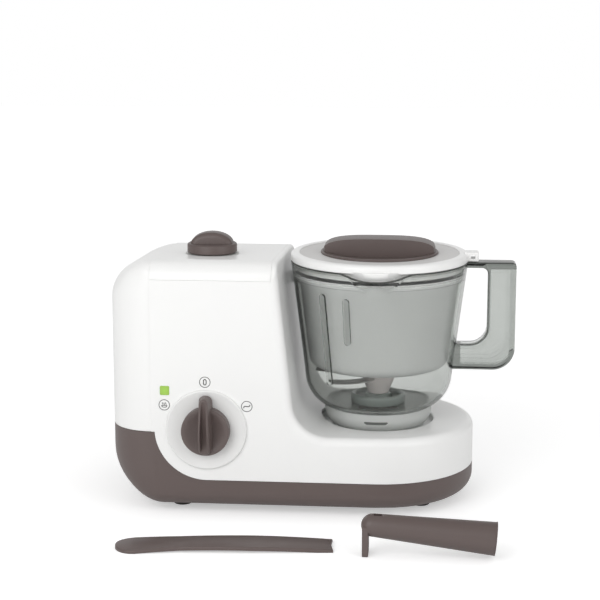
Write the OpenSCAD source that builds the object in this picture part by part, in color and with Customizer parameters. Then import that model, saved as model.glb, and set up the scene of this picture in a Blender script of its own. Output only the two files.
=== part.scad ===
// Baby food maker: a steam cooker and blender in one.
// A control tower holds the boiler and the motor; a round platform beside it carries a lift-off
// jar with a blade, a steaming basket, a tray and a lid. A spatula and an extraction tool lie in
// front. Lengths are in millimetres. The drive axis of the jar is the reference axis.

/* [Housing] */
// Half depth of the body, and radius of its round right end
body_r = 82; // [80:1:88]
// Distance from the drive axis to the left side
body_left = 222; // [216:1:232]
// Plan radius of the two left corners
corner_r = 38; // [32:1:42]
// Height of the platform's rim
platform_h = 68; // [66:1:74]
// Radius of the platform's top edge
rim_round = 5; // [4:0.5:7]
// Radius of the bottom edge
base_round = 22; // [16:1:26]
// Radius of the bottom left end, seen from the front
left_round = 45; // [38:1:52]
// Height of the underside above the floor
floor_gap = 6; // [5:0.5:8]
// Thickness of the housing walls
wall = 2.5; // [2:0.1:3]
// Gap between the upper and lower housing
seam_gap = 0.3; // [0.2:0.1:0.6]
// Height of the seam at the left end
seam_left_h = 68; // [62:1:74]

/* [Tower] */
// Height of the tower at its front edge
tower_h = 214; // [210:1:220]
// Radius of the top left corner, seen from the front
tower_corner_r = 33; // [28:1:38]
// Distance from the drive axis to the top of the tower's right side
tower_top_x = 81; // [80:0.5:84]
// Distance from the drive axis to the foot of the tower's right side
tower_foot_x = 68; // [64:1:72]
// Radius of the hollow between the tower and the platform
fillet_r = 30; // [24:1:32]
// Radius of the tower's front top edge
front_round = 16; // [12:1:20]
// Radius of the tower's back top edge
back_round = 20; // [14:1:26]
// Fall of the top from front to back
crown_drop = 8; // [6:1:10]
// Thickness of the top cover
cover_t = 3; // [2.5:0.5:4]
// Width of the top cover
cover_w = 100; // [92:1:102]
// Height of the cover's lower edge below the top
cover_drop = 15; // [12:1:18]

/* [Dial] */
// Distance of the dial from the left side
dial_in = 83.5; // [82:0.5:86]
// Height of the dial
dial_z = 74; // [70:1:78]
// Radius of the seam's arc below the dial
seam_arc_r = 43.5; // [40:0.5:46]
// Radius of the dial ring
bezel_r = 34; // [31:1:36]
// Radius of the control knob
knob_r = 20; // [18:0.5:22]
// Depth of the knob's disc
knob_disc_t = 8; // [6:0.5:10]
// Height of the knob's grip bar above the disc
grip_h = 12; // [9:1:14]
// Width of the grip bar
grip_w = 9; // [7:0.5:11]
// Reach of the grip bar's pointer above the knob's centre
pointer_reach = 33; // [28:1:34]
// Side of the lamp window
lamp_w = 8; // [6:0.5:9]

/* [Water boiler] */
// Distance of the filler from the left side
filler_in = 81.4; // [80:0.2:84]
// Distance of the filler in front of the drive axis
filler_y = 21; // [18:1:24]
// Radius of the filler cap
cap_r = 21; // [19:0.5:23]
// Height of the cap's disc
cap_h = 8.6; // [7:0.2:10]
// Height of the cap's grip above the disc
cap_grip_h = 9.5; // [8:0.5:11]
// Bore radius of the filler neck
neck_bore_r = 11.5; // [10.5:0.5:13]
// Radius of the boiler
boiler_r = 40; // [36:1:42]
// Height of the boiler
boiler_h = 58; // [50:1:60]
// Depth of the boiler's top below the tower's top
boiler_drop = 40; // [38:1:46]
// Bore radius of the steam pipe
steam_bore_r = 2.5; // [2:0.1:3]

/* [Drive] */
// Radius of the drive shaft and of the blade's spindle
shaft_r = 4; // [3.5:0.1:4.5]
// Running clearance of shafts in their bushes
run_fit = 0.05; // [0.03:0.01:0.08]
// Distance of the motor from the drive axis, along the body
motor_x = 112; // [108:1:118]
// Distance of the motor behind the drive axis
motor_y = 22; // [18:1:30]
// Radius of the motor can
motor_r = 34; // [30:1:36]
// Height of the motor can
motor_h = 66; // [60:1:70]
// Radius of the motor's pulley
small_pulley_r = 9; // [8:0.5:11]
// Radius of the drive pulley
large_pulley_r = 27; // [24:1:32]
// Width of the drive belt
belt_w = 6; // [5:0.5:8]
// Thickness of the drive belt
belt_t = 1.6; // [1.2:0.1:2]
// Radius of the drive coupling
coupling_r = 6.25; // [6:0.05:6.6]

/* [Platform] */
// Radius of the recess that takes the jar's foot
recess_r = 47.5; // [47:0.5:50]
// Depth of the recess below the rim
recess_depth = 6.3; // [5:0.1:8]
// Radius of the raised disc inside the recess
island_r = 33; // [31:0.5:34]
// Height of the raised disc above the recess
island_h = 1.5; // [1:0.1:2]
// Radius of the hub's hole
hub_hole_r = 7; // [6.8:0.1:7.4]
// Travel of the interlock plunger
plunger_travel = 1.5; // [1:0.1:2]

/* [Jar] */
// Height of the jar from its foot to its rim
jar_h = 142.5; // [140:0.5:150]
// Radius of the jar at its rim
jar_rim_r = 75.5; // [74.5:0.1:76]
// Radius of the jar where its bottom starts to round
jar_low_r = 63; // [61:0.5:65]
// Radius of the jar's rounded bottom
jar_round = 30; // [28:0.5:31]
// Height of the jar's underside above the foot's
jar_floor_h = 14.5; // [13:0.5:16]
// Wall thickness of the jar
jar_wall = 3; // [2.5:0.1:3.2]
// Wall thickness above the jar's inner ledge
mouth_wall = 2.9; // [2.6:0.1:3]
// Depth of the ledge below the rim
ledge_depth = 14; // [13:0.5:16]
// Radius of the jar's foot
foot_r = 46; // [44:0.5:46.5]
// Wall thickness of the foot
foot_wall = 3; // [2.5:0.5:4]
// Reach of the spout past the rim
spout_reach = 8.5; // [6:0.5:10]
// Dip of the spout's lip
spout_dip = 5; // [3:0.5:7]
// Outer reach of the handle from the jar's axis
handle_reach = 116; // [112:1:120]
// Thickness of the handle's grip
handle_grip_t = 24; // [20:1:26]
// Height of the handle
handle_h = 93; // [88:1:96]
// Half width of the handle
handle_half_w = 9; // [8:0.5:11]
// Height of the finger gap
finger_gap_h = 66; // [60:1:68]

/* [Blade] */
// Radius of the blade hub
hub_r = 15; // [14:0.5:16]
// Height of the blade hub
hub_h = 42; // [40:0.5:43]
// Reach of the upper blade
upper_reach = 56; // [50:1:57]
// Reach of the lower blade
lower_reach = 50; // [44:1:52]
// Width of the blades
blade_w = 11; // [9:0.5:12]
// Thickness of the blades
blade_t = 1.6; // [1.2:0.1:2]
// Radius of the raised ring around the hub
ring_r = 23.5; // [22:0.5:25]

/* [Basket and tray] */
// Radius of the basket's rim
basket_rim_r = 72.2; // [71.8:0.1:72.3]
// Height of the basket
basket_h = 80; // [78:0.5:81]
// Wall thickness of the basket and the tray
basket_wall = 1.8; // [1.5:0.1:2]
// Radius of the basket's floor
basket_floor_r = 50; // [46:1:52]
// Height of the basket's lug above the basket's rim
lug_rise = 9; // [7:0.5:9.2]
// Radius of the tray's rim
tray_rim_r = 71.8; // [71.5:0.1:72]
// Depth of the tray
tray_h = 26; // [22:1:28]
// Radius of the tray's floor
tray_floor_r = 53; // [48:1:54]
// Radius of the tray's steam holes
steam_hole_r = 1.5; // [1.2:0.1:1.8]
// Spacing of the rings of steam holes
hole_pitch = 6.5; // [6:0.5:8]

/* [Lid] */
// Radius of the lid
lid_r = 75.5; // [75:0.1:76.5]
// Thickness of the lid's rim
lid_rim_t = 7; // [6:0.5:8]
// Outer radius of the lid's skirt
skirt_r = 69.4; // [69:0.1:69.8]
// Depth of the lid's skirt
skirt_h = 7; // [6:0.5:7.2]
// Radius of the lid's grip
lid_grip_r = 50; // [46:1:54]
// Width of the grip's bar
lid_bar_w = 25; // [20:1:30]
// Height of the grip's bar above the lid
lid_bar_h = 12; // [9:0.5:14]

/* [Loose tools] */
// Length of the spatula
spatula_l = 172; // [150:1:180]
// Width of the spatula's blade
spatula_w = 32; // [26:1:36]
// Thickness of the spatula
spatula_t = 3.5; // [3:0.5:5]
// Length of the extraction tool's grip
tool_l = 96; // [85:1:105]
// Radius of the grip's wide end
tool_end_r = 13.5; // [12:0.5:15]
// Radius of the grip's narrow end
tool_tip_r = 9; // [8:0.5:10]
// Length of the extraction tool's leg
tool_leg_l = 33; // [30:1:38]

/* [Hidden] */
$fn = 96;

white = "whitesmoke";
brown = "#655a58";
far = 400;
touch = 0.3;

// Heights of the seam, the recess and everything that stands on it
seam_h = dial_z - seam_arc_r;
recess_z = platform_h - recess_depth;
foot_z = recess_z + touch;
rim_z = foot_z + jar_h;
ledge_z = rim_z - ledge_depth;
jar_under_z = foot_z + jar_floor_h;
jar_floor_z = jar_under_z + jar_wall;

// The platform's pan, its hub and the bearing under it
pan_t = 4;
pan_z = recess_z - pan_t;
hub_z = recess_z;
tub_z = floor_gap + wall;
pulley_z = tub_z + 2.5;
pulley_h = belt_w + 3;
belt_z = pulley_z + 1.5;

// The filler's level flange just clears the crowned top
crown_slope = crown_drop / (2 * body_r - front_round - back_round);
function roof_z(y) = tower_h - crown_slope * (body_r - front_round + y);
flange_z = roof_z(-filler_y) + 0.8;
neck_flange_r = cap_r + 1.5;
cover_x = body_left - 37.5;
dial_x = body_left - dial_in;
filler_x = body_left - filler_in;

// The lamp stands at the upper left of the dial ring
lamp_x = dial_x + bezel_r + 0.5;
lamp_z = dial_z + bezel_r - 1.5;

// The jar's wall is a cone that turns into the rounded bottom
jar_cone_h = jar_h - jar_floor_h - jar_round;
jar_taper = (jar_rim_r - jar_low_r) / jar_cone_h;
mouth_r = jar_rim_r - mouth_wall;
spout_r = 32;
spout_y = jar_rim_r + spout_reach - spout_r;
ring_h = 8.5;
ring_z = jar_floor_z + ring_h;

// The basket's flared lip sits on the ledge, and the tray's on the basket's
lip_drop = 8.8;
basket_body_r = 67.5;
basket_seat_r = jar_rim_r - jar_taper * ledge_depth - jar_wall - 0.2;
basket_rim_z = ledge_z + (basket_rim_r - basket_seat_r) * lip_drop / (basket_rim_r - basket_body_r);
basket_z = basket_rim_z - basket_h;
tray_body_r = 63;
tray_seat_r = basket_rim_r - basket_wall - 0.2;
tray_rim_z = basket_rim_z + (tray_rim_r - tray_seat_r) * lip_drop / (tray_rim_r - tray_body_r);
tray_z = tray_rim_z - tray_h;
lid_z = rim_z + 0.2;

// The blade stands on the raised ring, and both edges clear the basket
hub_base_z = ring_z + 0.4;
upper_blade_z = basket_z - 3.2;
blade_step = 8;
lower_blade_z = upper_blade_z - blade_step;
spindle_z = foot_z;
coupling_rise = 12;
coupling_top_z = foot_z + coupling_rise;
bearing_foot_z = foot_z + coupling_rise / 2;
nut_r = 11.5;
nut_bore_r = 9.5;
seal_t = 1;
nut_h = 10;
nut_z = jar_under_z - seal_t - 0.1 - nut_h;

// The steam crosses from the tower to the jar below the jar's ledge and the tower's roof
steam_y = 46;
steam_below_ledge = 10;
steam_below_roof = 20;
steam_z = min(ledge_z - steam_below_ledge, roof_z(steam_y) - steam_below_roof);
tower_lean = (tower_top_x - tower_foot_x) / (tower_h - platform_h - fillet_r);
tower_side_x = tower_foot_x + tower_lean * (steam_z - platform_h - fillet_r);
spigot_x = tower_side_x - 6.5;
spigot_r = 5;
spigot_jar_r = jar_rim_r - jar_taper * (rim_z - steam_z);
spigot_end_x = sqrt(pow(spigot_jar_r, 2) - pow(steam_y + spigot_r, 2)) - 1;

// The boiler stands on its shelf over the motor and the screw posts, below the steam way
motor_z = tub_z + 17.5;
post_rise = 30;
shelf_t = 4;
shelf_clear = 1;
boiler_leg_h = 7;
steam_rise = 6.5;
boiler_top_z = min(tower_h - boiler_drop, steam_z - steam_rise);
shelf_low_z = max(motor_z + motor_h, seam_left_h + post_rise) + shelf_clear;
shelf_z = max(boiler_top_z - boiler_h - boiler_leg_h - shelf_t, shelf_low_z);
boiler_z = shelf_z + shelf_t + boiler_leg_h;
boiler_body_h = boiler_top_z - boiler_z;

// Places of the loose tools on the floor
spatula_end_y = -165;
spatula_end_x = -184;
spatula_turn = 5;
tool_y = -165;
tool_x = 3;

// The outer box is centred on the frame's axis
y_front = min(spatula_end_y - spatula_w / 2, tool_y - tool_end_r);
gland_flange = 2;
frame_x = (body_left - handle_reach) / 2;
frame_y = -(y_front + body_r + gland_flange) / 2;

module in_frame() {
    translate([frame_x, frame_y, 0]) children();
}

// A box between two opposite corners
module block(low, high) {
    translate(low) cube(high - low);
}

// A cylinder that runs along X or Y from its base
module along_x(length, radius) {
    rotate([0, 90, 0]) cylinder(h = length, r = radius);
}

module along_y(length, radius) {
    rotate([-90, 0, 0]) cylinder(h = length, r = radius);
}

module tube(outer, inner, low, high) {
    difference() {
        translate([0, 0, low]) cylinder(h = high - low, r = outer);
        translate([0, 0, low - 1]) cylinder(h = high - low + 2, r = inner);
    }
}

// ---- Outer form of the body; inset gives the same form one wall further in ----

module plan_outline(inset) {
    circle(r = body_r - inset);
    translate([-body_left + corner_r, -body_r + inset])
        square([body_left - corner_r, 2 * (body_r - inset)]);
    translate([-body_left + inset, -body_r + corner_r])
        square([corner_r, 2 * (body_r - corner_r)]);
    for (side = [-1, 1])
        translate([-body_left + corner_r, side * (body_r - corner_r)]) circle(r = corner_r - inset);
}

// Section of the platform from its middle plane outwards
module edge_outline(inset) {
    flat_r = body_r - base_round;
    side_z = floor_gap + base_round;
    translate([0, floor_gap + inset]) square([flat_r, platform_h - floor_gap - 2 * inset]);
    translate([0, side_z]) square([body_r - inset, platform_h - rim_round - side_z]);
    translate([flat_r, side_z]) circle(r = base_round - inset);
    translate([body_r - rim_round, platform_h - rim_round]) circle(r = rim_round - inset);
    translate([0, platform_h - 2 * rim_round])
        square([body_r - rim_round, 2 * rim_round - inset]);
}

module slab(inset) {
    rotate_extrude() edge_outline(inset);
    translate([-body_left, 0, 0]) rotate([90, 0, 90]) linear_extrude(body_left) {
        edge_outline(inset);
        mirror([1, 0]) edge_outline(inset);
    }
}

// The body's left end seen from the front
module left_outline(inset) {
    translate([-body_left + left_round, floor_gap + left_round]) circle(r = left_round - inset);
    translate([-body_left + inset, floor_gap + left_round]) square([far, far]);
    translate([-body_left + left_round, floor_gap + inset]) square([far, far]);
}

// The tower seen from the front
module tower_front(inset) {
    corner_x = -body_left + tower_corner_r;
    side_x = -tower_foot_x - inset;
    fillet_z = platform_h + fillet_r;
    low_z = floor_gap + base_round;
    translate([-body_left + inset, low_z])
        square([tower_corner_r, tower_h - tower_corner_r - low_z]);
    translate([corner_x, tower_h - tower_corner_r]) circle(r = tower_corner_r - inset);
    polygon([
        [corner_x, low_z], [corner_x, tower_h - inset], [-tower_top_x - inset, tower_h - inset],
        [side_x, fillet_z], [side_x, low_z]
    ]);
    difference() {
        translate([side_x - 1, platform_h - 2 * rim_round])
            square([fillet_r + inset + 1, fillet_r + 2 * rim_round]);
        translate([-tower_foot_x + fillet_r, fillet_z]) circle(r = fillet_r + inset);
    }
}

// The tower seen from the right, its top falling to the back
module tower_side(inset) {
    front_y = -body_r + front_round;
    back_y = body_r - back_round;
    back_z = tower_h - crown_drop;
    translate([front_y, tower_h - front_round]) circle(r = front_round - inset);
    translate([back_y, back_z - back_round]) circle(r = back_round - inset);
    polygon([
        [-body_r + inset, floor_gap], [-body_r + inset, tower_h - front_round],
        [front_y, tower_h - front_round], [front_y, tower_h - inset], [back_y, back_z - inset],
        [back_y, back_z - back_round], [body_r - inset, back_z - back_round],
        [body_r - inset, floor_gap]
    ]);
}

module tower(inset) {
    intersection() {
        rotate([90, 0, 0]) linear_extrude(2 * body_r, center = true) tower_front(inset);
        translate([-body_left, 0, 0]) rotate([90, 0, 90]) linear_extrude(body_left)
            tower_side(inset);
    }
}

// The whole body, its tower lowered by drop
module body_volume(inset, drop = 0) {
    intersection() {
        union() {
            slab(inset);
            translate([0, 0, -drop]) tower(inset);
        }
        linear_extrude(far) plan_outline(inset);
        rotate([90, 0, 0]) linear_extrude(far, center = true) left_outline(inset);
    }
}

// Everything above the seam, which dips in an arc around the dial
module above_seam(grow) {
    rotate([90, 0, 0]) linear_extrude(far, center = true) {
        translate([-far, seam_left_h - grow]) square([2 * far, far]);
        translate([-dial_x, seam_h - grow]) square([far, far]);
        translate([-dial_x, dial_z]) circle(r = seam_arc_r + grow);
    }
}

module cover_zone(gap) {
    block([-cover_x + gap, -far, tower_h - cover_drop + gap],
          [-cover_x + cover_w - gap, far, tower_h + far]);
}

// ---- Housing ----

post_right = [[20, -60], [20, 60]];
post_left = [[-body_left + 36, -30], [-body_left + 36, 30]];
post_z = tub_z + 3.5;
screw_r = 1.8;
screw_l = 26;
screw_head_r = 4;
screw_head_h = 2.5;

module upper_housing() {
    color(white) in_frame() difference() {
        union() {
            intersection() {
                difference() {
                    body_volume(0);
                    body_volume(wall, cover_t + 1);
                }
                above_seam(0);
            }
            translate([0, 0, pan_z]) cylinder(h = platform_h - wall - pan_z, r = recess_r + 3);
            for (p = post_right)
                translate([p[0], p[1], post_z]) cylinder(h = platform_h - 1 - post_z, r = 5);
            for (p = post_left) {
                translate([p[0], p[1], post_z]) cylinder(h = seam_left_h + post_rise - post_z, r = 5);
                block([-body_left + 1, p[1] - 1.5, seam_left_h + 1],
                      [p[0], p[1] + 1.5, seam_left_h + post_rise]);
            }
        }
        // pocket for the top cover and hole for the filler's flange
        intersection() {
            difference() {
                body_volume(-1);
                body_volume(cover_t);
            }
            cover_zone(0);
        }
        translate([-filler_x, -filler_y, tower_h - 20]) cylinder(h = 30, r = neck_flange_r + touch);
        // recess with its raised island, and the hub's hole
        translate([0, 0, recess_z + island_h]) cylinder(h = 20, r = recess_r);
        tube(recess_r, island_r, recess_z, recess_z + 20);
        translate([0, 0, hub_z]) cylinder(h = 20, r = hub_hole_r + 3);
        translate([0, 0, pan_z - 1]) cylinder(h = 20, r = hub_hole_r);
        // holes for the knob, the lamp, the steam outlet, the plunger and the screws
        translate([-dial_x, -body_r - 1, dial_z]) along_y(wall + 2, 5);
        block([-lamp_x - lamp_w / 2, -body_r - 1, lamp_z - lamp_w / 2],
              [-lamp_x + lamp_w / 2, -body_r + wall + 1, lamp_z + lamp_w / 2]);
        translate([-tower_side_x - 10, steam_y, steam_z]) along_x(20, outlet_r + 0.1);
        translate([0, plunger_y, pan_z - 1]) cylinder(h = 20, r = plunger_r + 0.1);
        for (p = concat(post_right, post_left))
            translate([p[0], p[1], post_z - 1])
                cylinder(h = floor_gap - post_z + screw_l + 1, r = screw_r + 0.05);
    }
}

module lower_housing() {
    color(brown) in_frame() difference() {
        union() {
            difference() {
                body_volume(0);
                body_volume(wall, cover_t);
                above_seam(seam_gap);
            }
            for (p = concat(post_right, post_left))
                translate([p[0], p[1], tub_z - 1]) cylinder(h = post_z - tub_z + 1, r = 7);
        }
        for (p = concat(post_right, post_left)) {
            translate([p[0], p[1], floor_gap - 1]) cylinder(h = 30, r = screw_r + 0.3);
            translate([p[0], p[1], floor_gap - 1])
                cylinder(h = screw_head_h + 0.7, r = screw_head_r + 0.2);
        }
        for (p = feet)
            translate([p[0], p[1], floor_gap - 1]) cylinder(h = wall + 2, r = foot_stem_r);
        translate([gland_x, body_r - wall - 1, gland_z]) along_y(wall + 2, gland_r + 0.1);
    }
}

feet = [[-164, -50], [-164, 50], [38, -36], [38, 36]];
foot_stem_r = 3;

module rubber_feet() {
    color("dimgray") in_frame() for (p = feet) translate([p[0], p[1], 0]) {
        cylinder(h = floor_gap, r = 8);
        cylinder(h = tub_z + 1, r = foot_stem_r - 0.1);
        translate([0, 0, tub_z]) cylinder(h = 1.2, r = foot_stem_r + 1);
    }
}

module housing_screws() {
    color("silver") in_frame() for (p = concat(post_right, post_left))
        translate([p[0], p[1], floor_gap - 0.3]) {
            cylinder(h = screw_head_h, r = screw_head_r);
            cylinder(h = screw_l, r = screw_r);
        }
}

module top_cover() {
    color(white) in_frame() difference() {
        intersection() {
            difference() {
                body_volume(0);
                body_volume(cover_t - 0.1);
            }
            cover_zone(0.3);
        }
        translate([-filler_x, -filler_y, tower_h - 20]) cylinder(h = 30, r = neck_flange_r + touch);
    }
}

// ---- Front panel ----

bezel_t = 2.6;

module dial_bezel() {
    color(white) in_frame() translate([-dial_x, -body_r, dial_z]) rotate([90, 0, 0])
        difference() {
            rotate_extrude() difference() {
                union() {
                    square([bezel_r - 1, bezel_t]);
                    square([bezel_r, bezel_t - 1]);
                }
                // the ring's face is dished towards the knob
                translate([0, 0.8]) polygon([[0, 0], [knob_r + 2, 0], [bezel_r - 2.5, far], [0, far]]);
            }
            translate([0, 0, -1]) cylinder(h = 10, r = 5);
        }
}

lens_flange_t = 1.5;
lamp_board_w = 18;
lamp_board_h = 15;
board_t = 1.6;

module lamp_lens() {
    color("#96d750") in_frame() {
        window_half = lamp_w / 2 - 0.1;
        flange_half = lamp_w / 2 + 1;
        block([-lamp_x - window_half, -body_r - 0.6, lamp_z - window_half],
              [-lamp_x + window_half, -body_r + wall, lamp_z + window_half]);
        block([-lamp_x - flange_half, -body_r + wall, lamp_z - flange_half],
              [-lamp_x + flange_half, -body_r + wall + lens_flange_t, lamp_z + flange_half]);
    }
}

module lamp_board() {
    back_y = -body_r + wall + lens_flange_t;
    color("darkgreen") in_frame()
        block([-lamp_x - lamp_board_w / 2, back_y, lamp_z - lamp_board_h / 2],
              [-lamp_x + lamp_board_w / 2, back_y + board_t, lamp_z + lamp_board_h / 2]);
}

switch_depth = 24;
switch_half = 18;

module rotary_switch() {
    color("ivory") in_frame() difference() {
        block([-dial_x - switch_half, -body_r + wall, dial_z - switch_half],
              [-dial_x + switch_half, -body_r + wall + switch_depth, dial_z + switch_half]);
        translate([-dial_x, -body_r, dial_z]) along_y(switch_depth - 4, spindle_r + run_fit);
    }
}

spindle_r = 3;

module control_knob() {
    color(brown) in_frame() translate([-dial_x, -body_r - 1, dial_z]) rotate([90, 0, 0])
        difference() {
            union() {
                cylinder(h = knob_disc_t, r = knob_r);
                // grip bar whose round pointer passes over the dial ring
                translate([0, 0, bezel_t]) linear_extrude(knob_disc_t + grip_h - bezel_t)
                    polygon(concat(
                        arc([0, pointer_reach - grip_w / 2], grip_w / 2, 0, 180, 24),
                        arc([0, 1 - knob_r + grip_w / 2], grip_w / 2, 180, 360, 24)
                    ));
            }
            translate([0, 0, -1]) cylinder(h = knob_disc_t + 1, r = spindle_r);
        }
}

module knob_spindle() {
    color("silver") in_frame() translate([-dial_x, -body_r - knob_disc_t - 1, dial_z])
        along_y(knob_disc_t + 1 + switch_depth - 5, spindle_r);
}

// ---- Boiler, filler and steam way ----

module boiler() {
    color("silver") in_frame() translate([-filler_x, boiler_y, 0]) difference() {
        union() {
            translate([0, 0, boiler_z]) cylinder(h = boiler_body_h, r = boiler_r);
            for (turn = [30, 150, 270]) rotate([0, 0, turn])
                translate([boiler_r - 8, 0, shelf_z + shelf_t])
                    cylinder(h = boiler_leg_h + 1, r = 4);
        }
        translate([0, 0, boiler_z + 2]) cylinder(h = boiler_body_h - 4, r = boiler_r - 2);
        translate([0, -filler_y - boiler_y, boiler_top_z - 5]) cylinder(h = 10, r = neck_bore_r);
        translate([pipe_dx, pipe_dy, boiler_top_z - 5]) cylinder(h = 10, r = steam_bore_r);
    }
}

boiler_y = -12;
pipe_dx = 25;
pipe_dy = 10;

module boiler_shelf() {
    color("gainsboro") in_frame() difference() {
        intersection() {
            body_volume(wall + 0.05, cover_t + 1);
            block([-far, -body_r + 30, shelf_z], [-60, body_r - 20, shelf_z + shelf_t]);
        }
        translate([-motor_x, motor_y, shelf_z - 1]) cylinder(h = shelf_t + 2, r = 10);
    }
}

element_r = 3;
element_ring_r = 18;
thermostat_x = 22;
thermostat_y = 14;
thermostat_r = 8;
thermostat_h = 7;

module heating_element() {
    color("dimgray") in_frame() translate([-filler_x, boiler_y, boiler_z - element_r - 0.05])
        rotate_extrude() translate([element_ring_r, 0]) circle(r = element_r);
}

module thermostat() {
    color("darkslategray") in_frame() translate([-filler_x - thermostat_x, boiler_y + thermostat_y, boiler_top_z])
        cylinder(h = thermostat_h, r = thermostat_r);
}

module filler_neck() {
    color("ivory") in_frame() translate([-filler_x, -filler_y, 0]) difference() {
        union() {
            translate([0, 0, boiler_top_z]) cylinder(h = flange_z - boiler_top_z, r = neck_bore_r + 2);
            translate([0, 0, flange_z - 6]) cylinder(h = 6, r = neck_flange_r);
        }
        translate([0, 0, boiler_top_z - 1]) cylinder(h = far, r = neck_bore_r);
    }
}

// The pipe rises from the boiler, runs back and then out to the right
module pipe_run(radius, over) {
    rise = steam_z - boiler_top_z;
    translate([0, 0, boiler_top_z - over]) cylinder(h = rise + over, r = radius);
    translate([0, 0, steam_z]) sphere(r = radius);
    translate([0, 0, steam_z]) along_y(pipe_back, radius);
    translate([0, pipe_back, steam_z]) sphere(r = radius);
    translate([0, pipe_back, steam_z]) along_x(pipe_out + over, radius);
}

pipe_back = steam_y - boiler_y - pipe_dy;
outlet_in = 9;
outlet_out = 3;
pipe_out = filler_x - pipe_dx - tower_side_x - outlet_in;

module steam_pipe() {
    color("gainsboro") in_frame() translate([-filler_x + pipe_dx, boiler_y + pipe_dy, 0]) difference() {
        pipe_run(steam_bore_r + 1.5, 0);
        pipe_run(steam_bore_r, 1);
    }
}

outlet_r = 5.5;

module steam_outlet() {
    color("dimgray") in_frame() translate([-tower_side_x, steam_y, steam_z]) difference() {
        union() {
            translate([-outlet_in, 0, 0]) along_x(outlet_in + outlet_out, outlet_r);
            translate([-6.9, 0, 0]) along_x(2.4, outlet_r + 2);
        }
        translate([-outlet_in - 1, 0, 0]) along_x(outlet_in + outlet_out + 2, steam_bore_r);
    }
}

module tank_cap() {
    grip_half = 9;
    color(brown) in_frame() translate([-filler_x, -filler_y, flange_z]) difference() {
        union() {
            translate([0, 0, 0.8]) cylinder(h = cap_h - 0.8, r = cap_r);
            translate([0, 0, -10]) cylinder(h = 11, r = neck_bore_r - 0.3);
            intersection() {
                cylinder(h = cap_h + cap_grip_h, r = cap_r);
                translate([0, grip_half, cap_h + cap_grip_h - 26]) rotate([90, 0, 0])
                    cylinder(h = 2 * grip_half, r = 26);
                block([-cap_r, -grip_half, cap_h - 1], [cap_r, grip_half, far]);
            }
        }
        translate([0, 0, -11]) cylinder(h = 12, r = neck_bore_r - 2.5);
    }
}

module cap_gasket() {
    color("gray") in_frame() translate([-filler_x, -filler_y, 0])
        tube(neck_bore_r + 5, neck_bore_r + 1, flange_z, flange_z + 0.8);
}

// ---- Motor, belt and drive ----

rotor_r = motor_r - 9;
can_wall = 3;
can_end = 6;
bracket_rim = 7;
bracket_t = 3;

module motor_can() {
    color("silver") in_frame() translate([-motor_x, motor_y, motor_z]) difference() {
        cylinder(h = motor_h, r = motor_r);
        translate([0, 0, can_wall]) cylinder(h = motor_h - 2 * can_wall, r = motor_r - can_wall);
        translate([0, 0, -1]) cylinder(h = motor_h - can_wall, r = shaft_r + run_fit);
    }
}

module motor_bracket() {
    color("darkgray") in_frame() translate([-motor_x, motor_y, 0]) difference() {
        union() {
            translate([0, 0, motor_z - bracket_t]) cylinder(h = bracket_t, r = motor_r + bracket_rim);
            for (turn = [60 : 120 : 300]) rotate([0, 0, turn])
                translate([motor_r + 1, 0, tub_z]) cylinder(h = motor_z - tub_z - 1, r = 4);
        }
        translate([0, 0, motor_z - bracket_t - 1]) cylinder(h = bracket_t + 3, r = shaft_r + can_end);
    }
}

module motor_rotor() {
    color("peru") in_frame() translate([-motor_x, motor_y, 0]) {
        translate([0, 0, motor_z + 10]) cylinder(h = motor_h - 22, r = rotor_r);
        translate([0, 0, pulley_z]) cylinder(h = motor_z + motor_h - can_end - pulley_z, r = shaft_r);
    }
}

// A flat belt pulley with a flange on each side
module pulley(radius) {
    difference() {
        union() {
            translate([0, 0, pulley_z]) cylinder(h = pulley_h, r = radius);
            for (z = [pulley_z, pulley_z + pulley_h - 1.2])
                translate([0, 0, z]) cylinder(h = 1.2, r = radius + 2);
        }
        translate([0, 0, pulley_z - 1]) cylinder(h = pulley_h + 2, r = shaft_r);
    }
}

module motor_pulley() {
    color("gainsboro") in_frame() translate([-motor_x, motor_y, 0]) pulley(small_pulley_r);
}

module drive_pulley() {
    color("gainsboro") in_frame() pulley(large_pulley_r);
}

// Points along an arc, with both ends included
function arc(centre, radius, from, to, steps) = [
    for (i = [0 : steps])
        centre + radius * [cos(from + (to - from) * i / steps), sin(from + (to - from) * i / steps)]
];

// An arc around each pulley, joined by the straight strands, from the motor's axis
module belt_outline(grow) {
    span = norm([motor_x, motor_y]);
    near = small_pulley_r + grow;
    wide = large_pulley_r + grow;
    lean = acos((near - wide) / span);
    polygon(concat(arc([0, 0], near, lean, 360 - lean, 36), arc([span, 0], wide, -lean, lean, 60)));
}

module drive_belt() {
    color("black") in_frame() translate([-motor_x, motor_y, belt_z])
        rotate([0, 0, atan2(-motor_y, motor_x)]) linear_extrude(belt_w) difference() {
            belt_outline(belt_t + 0.1);
            belt_outline(0.1);
        }
}

module drive_shaft() {
    color("silver") in_frame() translate([0, 0, pulley_z])
        cylinder(h = pan_z - pulley_z + 2, r = shaft_r);
}

module drive_coupling() {
    color(brown) in_frame() difference() {
        translate([0, 0, pan_z - 3]) cylinder(h = coupling_top_z - pan_z + 3, r = coupling_r);
        translate([0, 0, pan_z - 4]) cylinder(h = 6, r = shaft_r);
        translate([0, 0, spindle_z - 1]) cylinder(h = far, r = shaft_r + 0.15);
    }
}

bush_r = 7;
bush_h = 8;
bearing_r = 12;
bearing_flange_r = 22;
bearing_flange_t = 3;
bearing_z = pulley_z + pulley_h + 3;

module bearing_housing() {
    color("gainsboro") in_frame() difference() {
        union() {
            translate([0, 0, bearing_z]) cylinder(h = pan_z - bearing_z, r = bearing_r);
            translate([0, 0, pan_z - bearing_flange_t])
                cylinder(h = bearing_flange_t, r = bearing_flange_r);
        }
        cylinder(h = far, r = bush_r);
    }
}

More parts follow.
